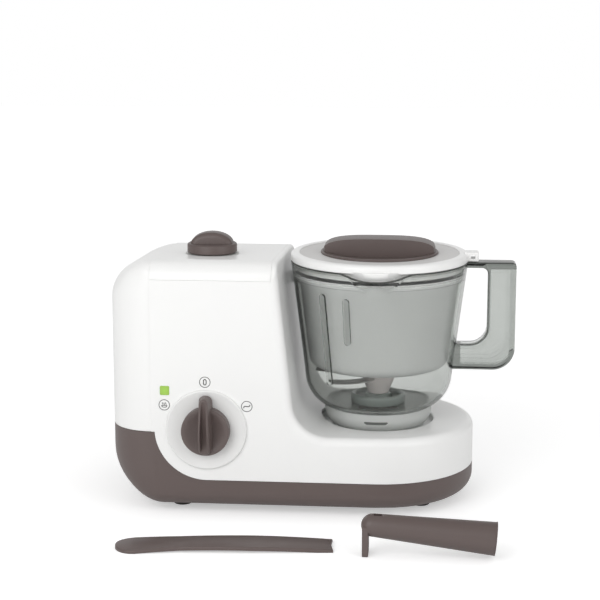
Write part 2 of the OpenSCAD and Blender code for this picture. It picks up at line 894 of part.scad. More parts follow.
module shaft_bushes() {
    high = pan_z - bearing_flange_t - 1;
    color("goldenrod") in_frame() {
        tube(bush_r, shaft_r + run_fit, bearing_z, bearing_z + bush_h);
        tube(bush_r, shaft_r + run_fit, high - bush_h, high);
    }
}

// ---- Electrics ----

board_y = -22;
board_w = 62;
board_z = shelf_z + 17;
board_h = boiler_body_h - 8;
board_gap = 6;
board_post_r = 2.5;
capacitor_r = 7;
capacitor_h = 12;
relay_size = [6.4, 20, 14];

module control_board() {
    board_x = -body_left + wall + board_gap;
    front_x = board_x + board_t;
    color("seagreen") in_frame() {
        block([board_x, board_y, board_z], [front_x, board_y + board_w, board_z + board_h]);
        for (y = [board_gap, board_w - board_gap], z = [board_gap, board_h - board_gap])
            translate([-body_left + wall, board_y + y, board_z + z])
                along_x(board_gap, board_post_r);
        translate([front_x, board_y + board_w - 2 * capacitor_r, board_z + 4 * capacitor_r])
            along_x(capacitor_h, capacitor_r);
        translate([front_x, board_y + board_gap, board_z + board_gap]) cube(relay_size);
    }
}

plunger_y = 40;
plunger_r = 2;

module interlock_switch() {
    color("black") in_frame() difference() {
        block([-11, plunger_y - 5, pan_z - 12], [11, plunger_y + 5, pan_z]);
        translate([0, plunger_y, pan_z - 8]) cylinder(h = 10, r = plunger_r + run_fit);
    }
}

module interlock_plunger() {
    color("white") in_frame() translate([0, plunger_y, pan_z - 8 + plunger_travel + 0.5])
        cylinder(h = recess_z - pan_z + 8 - plunger_travel - 0.5, r = plunger_r);
}

gland_x = 44 - body_left;
gland_z = 40;
gland_r = 6.9;
gland_bore_r = 3.6;

module cord_gland() {
    color("dimgray") in_frame() translate([gland_x, body_r, gland_z]) difference() {
        union() {
            translate([0, -14, 0]) along_y(14, gland_r);
            along_y(gland_flange, gland_r + 2);
            translate([0, -wall - 2.5, 0]) along_y(2.4, gland_r + 2);
        }
        translate([0, -15, 0]) along_y(20, gland_bore_r);
    }
}

// ---- Jar ----

// Half section of the jar's outside, or of its inside at one wall's inset
module jar_outline(inset) {
    round_z = jar_under_z + jar_round;
    round_x = jar_low_r - jar_round;
    translate([round_x, round_z]) circle(r = jar_round - inset);
    translate([0, jar_under_z + inset]) square([round_x, jar_round]);
    polygon([
        [0, round_z], [jar_low_r - inset, round_z], [jar_rim_r - inset, rim_z], [0, rim_z]
    ]);
}

module spout(inset, rise) {
    translate([0, -spout_y, rim_z - 40])
        cylinder(h = 40 + rise, r1 = 10 - inset, r2 = spout_r - inset + rise * 22 / 40);
}

// The handle seen from the front; inset leaves the channel inside it
module handle_outline(inset) {
    top_z = rim_z;
    low_z = rim_z - handle_h;
    corner = 19;
    translate([0, low_z + inset]) square([handle_reach - corner, 30]);
    translate([60, low_z + corner]) square([handle_reach - inset - 60, top_z - inset - low_z - corner]);
    translate([handle_reach - corner, low_z + corner]) circle(r = corner - inset);
}

module finger_gap(inset) {
    grip_x = handle_reach - handle_grip_t - inset;
    top_z = rim_z - 5 - inset;
    low_z = rim_z - 5 - finger_gap_h + inset;
    corner = 15;
    translate([0, low_z + corner]) square([grip_x, top_z - low_z - corner]);
    translate([0, low_z]) square([grip_x - corner, far / 20]);
    translate([grip_x - corner, low_z + corner]) circle(r = corner);
}

module handle() {
    difference() {
        rotate([90, 0, 0]) linear_extrude(2 * handle_half_w, center = true) difference() {
            handle_outline(0);
            finger_gap(0);
        }
        // channel that is open on the far side
        rotate([90, 0, 0]) linear_extrude(2 * handle_half_w - 5, center = true) intersection() {
            difference() {
                handle_outline(2.5);
                finger_gap(-2.5);
            }
            translate([handle_reach - handle_grip_t, 0]) square([far, far]);
        }
        block([handle_reach - handle_grip_t + 8, 2.5 - handle_half_w, rim_z - 75],
              [handle_reach + 1, handle_half_w - 2.5, rim_z - 8]);
    }
}

module jar() {
    color("#7f8682", 0.35) in_frame() difference() {
        union() {
            rotate_extrude() intersection() {
                jar_outline(0);
                square(far);
            }
            intersection() {
                spout(0, 0);
                translate([0, 0, rim_z - 40]) cylinder(h = 40, r = far);
            }
            handle();
            translate([-spigot_x, steam_y, steam_z]) along_x(spigot_x - spigot_end_x, spigot_r);
        }
        // inside: the bowl below the ledge, the wider mouth and the spout
        rotate_extrude() intersection() {
            jar_outline(jar_wall);
            square(far);
        }
        translate([0, 0, ledge_z]) cylinder(h = far, r = mouth_r);
        spout(2.6, 1);
        // the spout's lip dips in a shallow arc
        intersection() {
            translate([0, -far, rim_z - spout_dip + 90]) along_y(far - 60, 90, $fn = 240);
            block([-60, -far, rim_z - 20], [60, -60, rim_z + 1]);
        }
        translate([-spigot_x - 1, steam_y, steam_z])
            along_x(spigot_x - spigot_end_x + 10, steam_bore_r);
        translate([0, 0, jar_under_z - 1]) cylinder(h = 20, r = stem_r + 0.1);
    }
}

stem_r = 9.35;

// The foot is glued under the jar's rounded bottom
module jar_foot() {
    color("gainsboro") in_frame() difference() {
        rotate_extrude() difference() {
            union() {
                translate([0, foot_z + 8]) square([foot_r, jar_floor_h - 8 + 3]);
                translate([0, foot_z]) square([foot_r - 8, 12]);
                translate([foot_r - 8, foot_z + 8]) circle(r = 8);
            }
            translate([0, foot_z - 1]) square([foot_r - 8 - foot_wall, 8]);
            translate([0, foot_z + 6]) square([foot_r - foot_wall, far]);
            translate([-far, -far]) square([far, 2 * far]);
        }
        rotate_extrude() intersection() {
            jar_outline(-0.05);
            square(far);
        }
        block([-10, -foot_r - 1, foot_z + 8.5], [10, -foot_r + 6, foot_z + 11]);
    }
}

// A flanged bearing through the jar's floor: the ring above, the nut's stem below
module jar_bearing() {
    color("gray") in_frame() difference() {
        union() {
            translate([0, 0, jar_floor_z]) cylinder(h = ring_h, r = ring_r);
            translate([0, 0, bearing_foot_z]) cylinder(h = jar_floor_z - bearing_foot_z + 1, r = stem_r);
        }
        tube(ring_r - 4, hub_r - 4, ring_z - 4, ring_z + 1);
        translate([0, 0, bearing_foot_z - 1]) cylinder(h = far, r = shaft_r + run_fit);
        translate([0, 0, bearing_foot_z - 1])
            cylinder(h = coupling_top_z - bearing_foot_z + 2, r = coupling_r + 0.8);
    }
}

module foot_seal() {
    color("dimgray") in_frame() tube(stem_r + 5, stem_r + 0.1, jar_under_z - seal_t, jar_under_z);
}

// The nut holds the bearing from below: a round body with six lobes at two levels
module lock_nut() {
    color("#6e554e") in_frame() difference() {
        union() {
            translate([0, 0, nut_z]) cylinder(h = nut_h, r = nut_r);
            for (turn = [0 : 60 : 300]) rotate([0, 0, turn]) {
                translate([nut_r + 2.5, 0, nut_z + 0.8]) cylinder(h = 3.6, r = 4);
                rotate([0, 0, 30]) translate([nut_r + 1.5, 0, nut_z + 5.2]) cylinder(h = 3.6, r = 3.6);
            }
        }
        translate([0, 0, nut_z - 1]) cylinder(h = far, r = nut_bore_r);
    }
}

// ---- Blade ----

hub_cap = 8;

module blade_spindle() {
    color("silver") in_frame() translate([0, 0, spindle_z])
        cylinder(h = hub_base_z + hub_h - hub_cap - spindle_z, r = shaft_r);
}

module blade_hub() {
    top_z = hub_base_z + hub_h;
    color("#d8cfcf") in_frame() difference() {
        union() {
            rotate_extrude() intersection() {
                union() {
                    translate([0, top_z - hub_r]) circle(r = hub_r);
                    polygon([
                        [0, hub_base_z], [9, hub_base_z], [hub_r, hub_base_z + 14],
                        [hub_r, top_z - hub_r], [0, top_z - hub_r]
                    ]);
                }
                square(far);
            }
            translate([-4, 0, top_z - 5]) cylinder(h = 5.5, r = 4);
        }
        translate([0, 0, hub_base_z - 1]) cylinder(h = hub_h - hub_cap + 1, r = shaft_r);
        blade(upper_blade_z, upper_reach, 0);
        blade(lower_blade_z, lower_reach, lower_turn);
    }
}

// One sickle-shaped arm and its mirror image; the tips curl with the turn
module sickle_pair(reach, width) {
    bend = reach * 0.62;
    for (side = [0, 180]) rotate([0, 0, side]) intersection() {
        translate([bend - 2, -bend * 0.35]) difference() {
            circle(r = bend);
            translate([-width * 0.25, -width]) circle(r = bend);
        }
        translate([0, -far]) square([reach, 2 * far]);
        circle(r = reach);
    }
    circle(r = hub_r - 3);
}

module blade(z, reach, turn) {
    rotate([0, 0, turn]) translate([0, 0, z]) linear_extrude(blade_t) difference() {
        sickle_pair(reach, blade_w);
        circle(r = shaft_r);
    }
}

module upper_blade() {
    color("silver") in_frame() blade(upper_blade_z, upper_reach, 0);
}

lower_turn = 24;

module lower_blade() {
    color("silver") in_frame() blade(lower_blade_z, lower_reach, lower_turn);
}

// ---- Basket, tray and lid ----

// Half section of a flared vessel: lip, tapering wall, rounded edge and flat floor
module vessel_outline(rim_r, rim, body_r_top, floor_r, floor_z, edge) {
    low_r = floor_r + edge;
    polygon([
        [0, floor_z + edge], [low_r, floor_z + edge], [body_r_top, rim - lip_drop], [rim_r, rim], [0, rim]
    ]);
    translate([floor_r, floor_z + edge]) intersection() {
        circle(r = edge);
        translate([0, -edge]) square(2 * edge);
    }
    translate([0, floor_z]) square([floor_r, edge]);
}

module vessel_solid(rim_r, rim, body_r_top, floor_r, floor_z, edge) {
    rotate_extrude() vessel_outline(rim_r, rim, body_r_top, floor_r, floor_z, edge);
}

dome_r = hub_r + 4;
dome_top_z = hub_base_z + hub_h + 3.5;
lug_x = mouth_r - 0.4;

module basket() {
    w = basket_wall;
    edge = 10;
    color("#eceeec", 0.85) in_frame() difference() {
        union() {
            difference() {
                vessel_solid(basket_rim_r, basket_rim_z, basket_body_r, basket_floor_r, basket_z, edge);
                vessel_solid(basket_rim_r - w, basket_rim_z + 0.01, basket_body_r - w,
                                 basket_floor_r, basket_z + w, edge - w);
            }
            translate([0, 0, basket_z]) cylinder(h = dome_top_z - basket_z + w, r = dome_r + w);
            block([lug_x - 6.5, -4.5, ledge_z + touch], [lug_x, 4.5, basket_rim_z + lug_rise]);
        }
        translate([0, 0, basket_z - 1]) cylinder(h = dome_top_z - basket_z + 1, r = dome_r);
        block([lug_x - 7, -1.2, basket_rim_z + lug_rise - 3], [lug_x + 1, 1.2, basket_rim_z + lug_rise + 1]);
        // steam holes in the floor
        for (turn = [0 : 30 : 330]) rotate([0, 0, turn])
            translate([(dome_r + basket_floor_r) / 2, 0, basket_z - 1]) cylinder(h = w + 2, r = 2);
    }
}

module tray() {
    w = basket_wall;
    edge = 6;
    rings = floor((tray_floor_r - 10) / hole_pitch);
    color("#f0f2f0", 0.85) in_frame() difference() {
        union() {
            difference() {
                vessel_solid(tray_rim_r, tray_rim_z, tray_body_r, tray_floor_r, tray_z, edge);
                vessel_solid(tray_rim_r - w, tray_rim_z + 0.01, tray_body_r - w,
                             tray_floor_r, tray_z + w, edge - w);
            }
            block([tray_body_r, -9, basket_rim_z + touch], [lug_x - 0.4, -5.6, tray_rim_z + 1.5]);
        }
        block([tray_body_r, -5.2, tray_rim_z - lip_drop + 0.5], [far, 5.2, tray_rim_z + 5]);
        for (ring = [1 : rings], hole = [0 : 6 * ring - 1])
            rotate([0, 0, 60 * hole / ring]) translate([ring * hole_pitch, 0, tray_z - 1])
                cylinder(h = w + 2, r = steam_hole_r);
    }
}

lid_top_z = lid_z + lid_rim_t;
latch_reach = 8.5;

module lid_shell() {
    color(white) in_frame() difference() {
        union() {
            translate([0, 0, lid_z]) rotate_extrude() {
                square([lid_r, lid_rim_t - 3]);
                square([lid_r - 3, lid_rim_t]);
                intersection() {
                    translate([lid_r - 3, lid_rim_t - 3]) circle(r = 3);
                    square(far);
                }
            }
            translate([0, 0, lid_z - skirt_h]) cylinder(h = skirt_h + 1, r = skirt_r);
            // pouch that closes the spout from above
            intersection() {
                translate([0, -spout_y, rim_z - 40]) cylinder(h = 42, r1 = 4, r2 = spout_r - 3.5);
                translate([0, 0, rim_z - spout_dip]) cylinder(h = spout_dip + 2, r = lid_r + 3.5);
            }
            block([lid_r - 4, -7, lid_z], [lid_r + latch_reach, 7, lid_top_z + 1]);
        }
        // hollow under the lid, and the shallow dish on top
        translate([0, 0, lid_z - skirt_h - 1]) cylinder(h = skirt_h + lid_rim_t - 4, r = skirt_r - 2.2);
        translate([0, 0, lid_top_z - 1]) cylinder(h = 3, r = lid_r - 7);
        block([60, -11, lid_z - skirt_h - 1], [mouth_r, 11, lid_z]);
        block([lid_r + 2, -8, lid_z + 2.5], [lid_r + 5.5, 8, lid_z + 5.5]);
        translate([0, 0, lid_top_z - 6]) cylinder(h = 20, r = lid_grip_r - 4);
    }
}

module lid_grip() {
    bar_top = lid_top_z + lid_bar_h;
    arch_r = 160;
    color(brown) in_frame() union() {
        translate([0, 0, lid_top_z - 6]) cylinder(h = 3, r = lid_grip_r - 4.1);
        translate([0, 0, lid_top_z - 6]) tube(lid_grip_r - 4.1, lid_grip_r - 7, 0, 5);
        translate([0, 0, lid_top_z - 1]) tube(lid_grip_r, lid_grip_r - 7, 0, 1.8);
        intersection() {
            translate([0, 0, lid_top_z - 6]) cylinder(h = far, r = lid_grip_r - 4.1);
            block([-lid_grip_r, -lid_bar_w / 2, lid_top_z - 6], [lid_grip_r, lid_bar_w / 2, bar_top]);
            translate([0, -far / 2, bar_top - arch_r]) along_y(far, arch_r, $fn = 360);
        }
    }
}

module lid_seal() {
    color("gainsboro") in_frame() difference() {
        tube(mouth_r - 0.4, skirt_r, lid_z - 3.2, lid_z - 0.8);
        block([60, -11.2, lid_z - skirt_h - 1], [far, 11.2, lid_z]);
        translate([0, -spout_y, rim_z - 40]) cylinder(h = 42, r1 = 4.2, r2 = spout_r - 3.3);
    }
}

// ---- Loose tools on the floor ----

// Rounded paddle at the left, a slight waist and a squared end at the right
module spatula_outline() {
    run = spatula_l - spatula_w / 2;
    waist = spatula_w / 2 - 1.5;
    polygon(concat(
        arc([0, 0], spatula_w / 2, 90, 270, 36),
        [[run * 0.7, -waist], [run, -waist - 0.5], [run, waist + 0.5], [run * 0.7, waist]]
    ));
}

module spatula() {
    camber_r = 1200;
    run = spatula_l - spatula_w;
    color(brown) in_frame() translate([spatula_end_x, spatula_end_y, 0]) rotate([0, 0, spatula_turn])
        intersection() {
            linear_extrude(far) spatula_outline();
            // a gently bowed plate that stands on its two ends
            translate([run / 2, -far / 2, 0]) difference() {
                translate([0, 0, spatula_t + rise_of(run, camber_r) - camber_r])
                    along_y(far, camber_r, $fn = 720);
                translate([0, -1, rise_of(run, camber_r) - camber_r])
                    along_y(far + 2, camber_r, $fn = 720);
            }
            block([-far, -far, 0], [far, far, far]);
        }
}

// Height of an arc of radius r above its chord of length c
function rise_of(c, r) = r - sqrt(r * r - c * c / 4);

// A tapered tube, open at its wide end, that leans on a slotted leg at its narrow end
module extraction_tool() {
    slope = asin((tool_leg_l - tool_tip_r - 2 - tool_end_r) / tool_l);
    w = 2.2;
    color(brown) in_frame() translate([tool_x, tool_y, tool_leg_l - tool_tip_r]) {
        rotate([0, 90 + slope, 0]) difference() {
            union() {
                cylinder(h = tool_l, r1 = tool_tip_r, r2 = tool_end_r);
                sphere(r = tool_tip_r);
            }
            translate([0, 0, 14]) cylinder(h = tool_l, r1 = tool_tip_r - w, r2 = tool_end_r - w + 0.8);
        }
        difference() {
            block([-8, -8, tool_tip_r - tool_leg_l], [-3, 8, 2]);
            block([-9, -2.5, -18], [0, 2.5, -8]);
        }
    }
}

upper_housing();
lower_housing();
rubber_feet();
housing_screws();
top_cover();
dial_bezel();
lamp_lens();
lamp_board();
rotary_switch();
boiler();
boiler_shelf();
heating_element();
thermostat();
filler_neck();
steam_pipe();
steam_outlet();
motor_can();
motor_bracket();
drive_belt();
bearing_housing();
shaft_bushes();
control_board();
interlock_switch();
cord_gland();
drive_shaft();
drive_pulley();
drive_coupling();
motor_rotor();
motor_pulley();
interlock_plunger();
control_knob();
knob_spindle();
tank_cap();
cap_gasket();
lock_nut();
jar();
jar_foot();
jar_bearing();
foot_seal();
blade_spindle();
blade_hub();
upper_blade();
lower_blade();
basket();
tray();
lid_shell();
lid_grip();
lid_seal();
spatula();
extraction_tool();
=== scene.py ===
import math

import bmesh
import bpy
from mathutils import Matrix, Vector


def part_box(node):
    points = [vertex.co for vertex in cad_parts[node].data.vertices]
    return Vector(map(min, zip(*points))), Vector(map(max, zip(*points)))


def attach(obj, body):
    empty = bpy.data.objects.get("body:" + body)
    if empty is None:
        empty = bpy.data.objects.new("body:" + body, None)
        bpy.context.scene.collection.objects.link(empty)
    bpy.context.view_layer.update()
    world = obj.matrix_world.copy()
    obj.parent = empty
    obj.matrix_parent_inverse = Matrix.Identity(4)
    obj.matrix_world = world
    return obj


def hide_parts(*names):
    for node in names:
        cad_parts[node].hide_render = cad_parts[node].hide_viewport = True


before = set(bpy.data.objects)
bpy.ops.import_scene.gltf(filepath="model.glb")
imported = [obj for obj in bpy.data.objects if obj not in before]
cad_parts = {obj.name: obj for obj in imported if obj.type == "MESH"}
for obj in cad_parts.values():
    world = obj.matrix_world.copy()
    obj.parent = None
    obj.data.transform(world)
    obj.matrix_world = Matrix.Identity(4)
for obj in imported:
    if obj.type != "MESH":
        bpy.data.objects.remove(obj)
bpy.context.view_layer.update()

# ---- The drive axis, which every piece is set out from ----
# The jar, the nut and the drive all turn about one upright axis. Lengths are in millimetres from
# it: X to the jar's handle, Y to the back and Z up from the table.
MM = 0.001
shaft_low, shaft_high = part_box("drive_shaft")
drive_axis = (shaft_low + shaft_high) / 2


def upright(x=0, y=0, z=0):
    """Puts a shape made in millimetres upright at a place counted from the drive axis."""
    place = Vector((drive_axis.x + x * MM, drive_axis.y + y * MM, z * MM))
    return Matrix.Translation(place) @ Matrix.Scale(MM, 4)


def facing_front(x, y, z):
    """As upright, with the shape's own Z turned to the front and its Y up."""
    return upright(x, y, z) @ Matrix.Rotation(math.pi / 2, 4, "X")


# ---- The body's form ----
# Both housings are injection-moulded shells of one form: a round platform that runs left into a
# tall tower. Slices across the depth give it its soft edges, and the seam parts it in two.
HALF_DEPTH = 82
LEFT_END = -222
CORNER_R = 38
FLOOR_GAP = 6
PLATFORM_H = 68
BASE_R = 15
RIM_R = 7
TOWER_H = 214
CROWN_FALL = 8
FRONT_R = 16
BACK_R = 20
BAND_X = -184.5
LEFT_FOOT_X = -177
LEFT_FOOT_H = 45
SHOULDER_H = 33
FLANK_TOP_X = -81
FLANK_FOOT_X = -68
FILLET_R = 30
WALL = 2.5


def arc(centre, radius, start, end, steps):
    """Points along an arc, with both ends included; angles are in degrees."""
    turn = [math.radians(start + (end - start) * i / steps) for i in range(steps + 1)]
    return [(centre[0] + radius * math.cos(a), centre[1] + radius * math.sin(a)) for a in turn]


def quarter(centre, across, up, start, end, steps):
    """An arc with one radius across and another up."""
    return [(centre[0] + across * a, centre[1] + up * b) for a, b in arc((0, 0), 1, start, end, steps)]


def held_line(start, end, hold=1.5):
    """A straight run with a point close to each end, which keeps its shading flat."""
    a, b = Vector(start), Vector(end)
    step = (b - a).normalized() * min(hold, (b - a).length / 3)
    return [tuple(a + step), tuple(b - step)]


def fall(radius, past):
    """How far a rounded edge has fallen at a distance past its start."""
    return radius - math.sqrt(max(radius * radius - max(past, 0) ** 2, 0))


def body_slice(y, inset, band_step, drop):
    """The body's outline at one depth, as (x, z) points: inset by a wall, its top lowered by drop."""
    depth = abs(y)
    half = HALF_DEPTH - inset
    # limits at this depth
    corner_y = HALF_DEPTH - CORNER_R
    reach = min(max(depth - corner_y, 0) / (CORNER_R - inset - band_step), 1)
    outer_x = BAND_X if band_step else LEFT_END + CORNER_R
    left = outer_x - (outer_x - LEFT_END - inset) * math.sqrt(1 - reach * reach)
    bottom = FLOOR_GAP + inset + fall(BASE_R - inset, depth - HALF_DEPTH + BASE_R)
    edge = fall(RIM_R - inset, depth - HALF_DEPTH + RIM_R)
    deck = PLATFORM_H - inset - edge
    front_y, back_y = FRONT_R - HALF_DEPTH, HALF_DEPTH - BACK_R
    along = min(max((y - front_y) / (back_y - front_y), 0), 1)
    crown = TOWER_H - inset - drop - CROWN_FALL * along
    crown -= fall(FRONT_R - inset, front_y - y) + fall(BACK_R - inset, y - back_y)
    shoulder = crown - band_step
    # left end, bottom to top
    points = quarter((LEFT_FOOT_X, bottom + LEFT_FOOT_H - inset), LEFT_FOOT_X - left,
                     LEFT_FOOT_H - inset, 270, 180, 12)
    shoulder_z = shoulder - SHOULDER_H + inset
    points += held_line(points[-1], (left, shoulder_z))
    points += quarter((outer_x, shoulder_z), outer_x - left, SHOULDER_H - inset, 180, 90, 14)
    points += [(outer_x, crown)]
    # top, flank and fillet
    lean = math.atan2(FLANK_FOOT_X - FLANK_TOP_X, TOWER_H - PLATFORM_H - FILLET_R)
    fillet_z = PLATFORM_H + FILLET_R
    fillet_x = FLANK_FOOT_X + FILLET_R / math.cos(lean)
    hollow_r = FILLET_R + inset + edge
    top_r = 3
    top_x = FLANK_FOOT_X - (inset + edge + top_r) / math.cos(lean)
    top_x -= (crown - top_r - fillet_z) * math.tan(lean)
    corner = arc((top_x, crown - top_r), top_r, 90, math.degrees(lean), 5)
    hollow = arc((fillet_x, fillet_z), hollow_r, 180 + math.degrees(lean), 270, 16)
    points += held_line(points[-1], corner[0]) + corner
    points += held_line(corner[-1], hollow[0]) + hollow
    # platform and its round end
    rim_r = RIM_R - inset
    rim_middle = HALF_DEPTH - RIM_R
    rise = math.degrees(math.acos(min(max((depth - rim_middle) / rim_r, 0), 1)))
    rim = arc((rim_middle, PLATFORM_H - RIM_R), rim_r, rise, 0, 8)
    base_r = BASE_R - inset
    base_middle = HALF_DEPTH - BASE_R
    sink = math.degrees(math.acos(min(max((depth - base_middle) / base_r, 0), 1)))
    base = arc((base_middle, FLOOR_GAP + BASE_R), base_r, 0, -sink, 10)
    end = [(math.sqrt(max(r * r - y * y, 0)), z) for r, z in rim + base]
    points += held_line(hollow[-1], end[0]) + end
    points += held_line(end[-1], points[0])
    return points


def new_object(name, bm, matrix=None):
    """Turns a finished bmesh, placed by the matrix if one is given, into an object."""
    if matrix is not None:
        bmesh.ops.transform(bm, matrix=matrix, verts=bm.verts)
    bmesh.ops.remove_doubles(bm, verts=bm.verts, dist=0.002 * MM)
    bmesh.ops.recalc_face_normals(bm, faces=bm.faces)
    mesh = bpy.data.meshes.new(name)
    bm.to_mesh(mesh)
    bm.free()
    made = bpy.data.objects.new(name, mesh)
    bpy.context.scene.collection.objects.link(made)
    return made


def body_form(name, inset=0, band_step=0, drop=0):
    """The whole body as one closed solid, inset by a wall's thickness."""
    half = HALF_DEPTH - inset
    depths = [half * math.sin(math.radians(turn)) for turn in range(-90, 91, 3)]
    if band_step:
        # the left end starts a step behind the band's faces
        edge_y = half - band_step
        depths = [y for y in depths if abs(abs(y) - edge_y) > 0.2] + [-edge_y, edge_y]
    depths.sort()
    slices = [body_slice(y, inset, band_step, drop) for y in depths]
    around = len(slices[0])
    bm = bmesh.new()
    bmesh.ops.create_grid(bm, x_segments=around, y_segments=len(depths) - 1, size=1)
    for i, vert in enumerate(bm.verts):
        row, column = divmod(i, around + 1)
        x, z = slices[row][column % around]
        vert.co = (x, depths[row], z)
    bmesh.ops.remove_doubles(bm, verts=bm.verts, dist=0.002)
    open_edges = [e for e in bm.edges if e.is_boundary]
    caps = bmesh.ops.holes_fill(bm, edges=open_edges, sides=0)["faces"]
    bmesh.ops.recalc_face_normals(bm, faces=bm.faces)
    bmesh.ops.inset_individual(bm, faces=caps, thickness=0.4)
    return new_object(name, bm, upright())


def pressed(outline, low, high):
    """A flat outline of (x, y) points, raised from one height to another."""
    bm = bmesh.new()
    face = bm.faces.new([bm.verts.new((x, y, low)) for x, y in outline])
    raised = bmesh.ops.extrude_face_region(bm, geom=[face])["geom"]
    top = [v for v in raised if isinstance(v, bmesh.types.BMVert)]
    bmesh.ops.translate(bm, vec=(0, 0, high - low), verts=top)
    bmesh.ops.recalc_face_normals(bm, faces=bm.faces)
    return bm


def turned(profile, closed=False, steps=96):
    """A half section of (radius, height) points, turned about an upright axis."""
    bm = bmesh.new()
    verts = [bm.verts.new((r, 0, z)) for r, z in profile]
    pairs = list(zip(verts, verts[1:])) + ([(verts[-1], verts[0])] if closed else [])
    edges = [bm.edges.new(pair) for pair in pairs]
    bmesh.ops.spin(bm, geom=verts + edges, cent=(0, 0, 0), axis=(0, 0, 1), angle=math.tau,
                   steps=steps, use_merge=True)
    bmesh.ops.remove_doubles(bm, verts=bm.verts, dist=0.002)
    bmesh.ops.recalc_face_normals(bm, faces=bm.faces)
    return bm


def worked(target, operation, *tools):
    """Cuts, joins or meets the target with each tool body, which is then used up."""
    for tool in tools:
        step = target.modifiers.new(operation, "BOOLEAN")
        step.operation = operation
        step.solver = "EXACT"
        step.object = tool
    bpy.context.view_layer.update()
    graph = bpy.context.evaluated_depsgraph_get()
    mesh = bpy.data.meshes.new_from_object(target.evaluated_get(graph))
    target.modifiers.clear()
    target.data = mesh
    for tool in tools:
        bpy.data.objects.remove(tool)
    return target


def softened(obj, angle=32):
    """Shades the faces smooth, and keeps each edge sharper than the angle crisp."""
    bm = bmesh.new()
    bm.from_mesh(obj.data)
    bmesh.ops.remove_doubles(bm, verts=bm.verts, dist=0.002 * MM)
    for face in bm.faces:
        face.smooth = True
    for edge in bm.edges:
        edge.smooth = len(edge.link_faces) == 2 and edge.calc_face_angle(0) < math.radians(angle)
    bm.to_mesh(obj.data)
    bm.free()
    return obj


# ---- Lower housing ----
# A brown ABS tub with a matt, finely sparked surface. It holds the motor and the drive, and its
# rim meets the white housing in a seam that dips in an arc below the dial.
DIAL_X = -138.5
DIAL_Z = 74
SEAM_ARC_R = 43.5
SEAM_LEFT_H = 71
SEAM_GAP = 0.35
BROWN = (0.118, 0.090, 0.084)
FAR = 400


def seam_block(name, grow=0):
    """Everything above the seam, lowered by grow."""
    seam_r = SEAM_ARC_R + grow
    drop = math.degrees(math.asin((DIAL_Z - SEAM_LEFT_H + grow) / seam_r))
    outline = [(-FAR, SEAM_LEFT_H - grow)]
    outline += arc((DIAL_X, DIAL_Z), seam_r, 180 + drop, 270, 32)
    outline += [(FAR, DIAL_Z - seam_r), (FAR, FAR), (-FAR, FAR)]
    return new_object(name, pressed(outline, -FAR / 2, FAR / 2), facing_front(0, 0, 0))


def moulded(name, colour, roughness, grain=0.5, depth=0.06, mottle=0.04, alpha=1.0):
    """Moulded plastic: a faint mottle in the colour, an uneven polish and a fine sparked grain."""
    material = bpy.data.materials.new(name)
    material.use_nodes = True
    nodes, links = material.node_tree.nodes, material.node_tree.links
    shader = nodes["Principled BSDF"]
    where = nodes.new("ShaderNodeTexCoord")
    cloud = nodes.new("ShaderNodeTexNoise")
    cloud.inputs["Scale"].default_value = 45
    cloud.inputs["Detail"].default_value = 4
    shade = nodes.new("ShaderNodeMix")
    shade.data_type = "RGBA"
    shade.inputs["A"].default_value = tuple(c * (1 - mottle) for c in colour) + (1,)
    shade.inputs["B"].default_value = tuple(min(c * (1 + mottle), 1) for c in colour) + (1,)
    polish = nodes.new("ShaderNodeMapRange")
    polish.inputs["To Min"].default_value = roughness * 0.88
    polish.inputs["To Max"].default_value = min(roughness * 1.12, 1)
    spark = nodes.new("ShaderNodeTexNoise")
    spark.inputs["Scale"].default_value = 1000 / grain
    spark.inputs["Detail"].default_value = 2
    bump = nodes.new("ShaderNodeBump")
    bump.inputs["Strength"].default_value = depth
    bump.inputs["Distance"].default_value = 0.0002
    links.new(where.outputs["Object"], cloud.inputs["Vector"])
    links.new(where.outputs["Object"], spark.inputs["Vector"])
    links.new(cloud.outputs["Fac"], shade.inputs["Factor"])
    links.new(cloud.outputs["Fac"], polish.inputs["Value"])
    links.new(spark.outputs["Fac"], bump.inputs["Height"])
    links.new(shade.outputs["Result"], shader.inputs["Base Color"])
    links.new(polish.outputs["Result"], shader.inputs["Roughness"])
    links.new(bump.outputs["Normal"], shader.inputs["Normal"])
    shader.inputs["Alpha"].default_value = alpha
    return material


brown_plastic = moulded("brown_plastic", BROWN, 0.42, grain=0.35, depth=0.12)
lower_housing = body_form("Lower_housing")
worked(lower_housing, "DIFFERENCE", body_form("inside", WALL), seam_block("seam", SEAM_GAP))
softened(lower_housing)
lower_housing.data.materials.append(brown_plastic)
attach(lower_housing, "base")
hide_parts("lower_housing")

# ---- Upper housing ----
# A white ABS shell with a satin polish: the tower on the left, and on the right the platform
# with a shallow dish, a round recess for the jar's foot and a low island around the hub.
WHITE = (0.87, 0.87, 0.86)
BAND_STEP = 0.7
RECESS_R = 47.5
RECESS_Z = 61.7
ISLAND_R = 33
ISLAND_H = 1.5
HUB_HOLE_R = 7
DISH_R = 60
DISH_X = 12.5
DISH_DEPTH = 1.6

white_plastic = moulded("white_plastic", WHITE, 0.3, grain=0.8, depth=0.02, mottle=0.008)
upper_housing = body_form("Upper_housing", band_step=BAND_STEP)
worked(upper_housing, "DIFFERENCE", body_form("inside", WALL, drop=4))
worked(upper_housing, "INTERSECT", seam_block("seam"))
pan = turned([(0, RECESS_Z - 4), (RECESS_R + 3, RECESS_Z - 4), (RECESS_R + 3, PLATFORM_H - 2),
              (0, PLATFORM_H - 2)])
worked(upper_housing, "UNION", new_object("pan", pan, upright()))
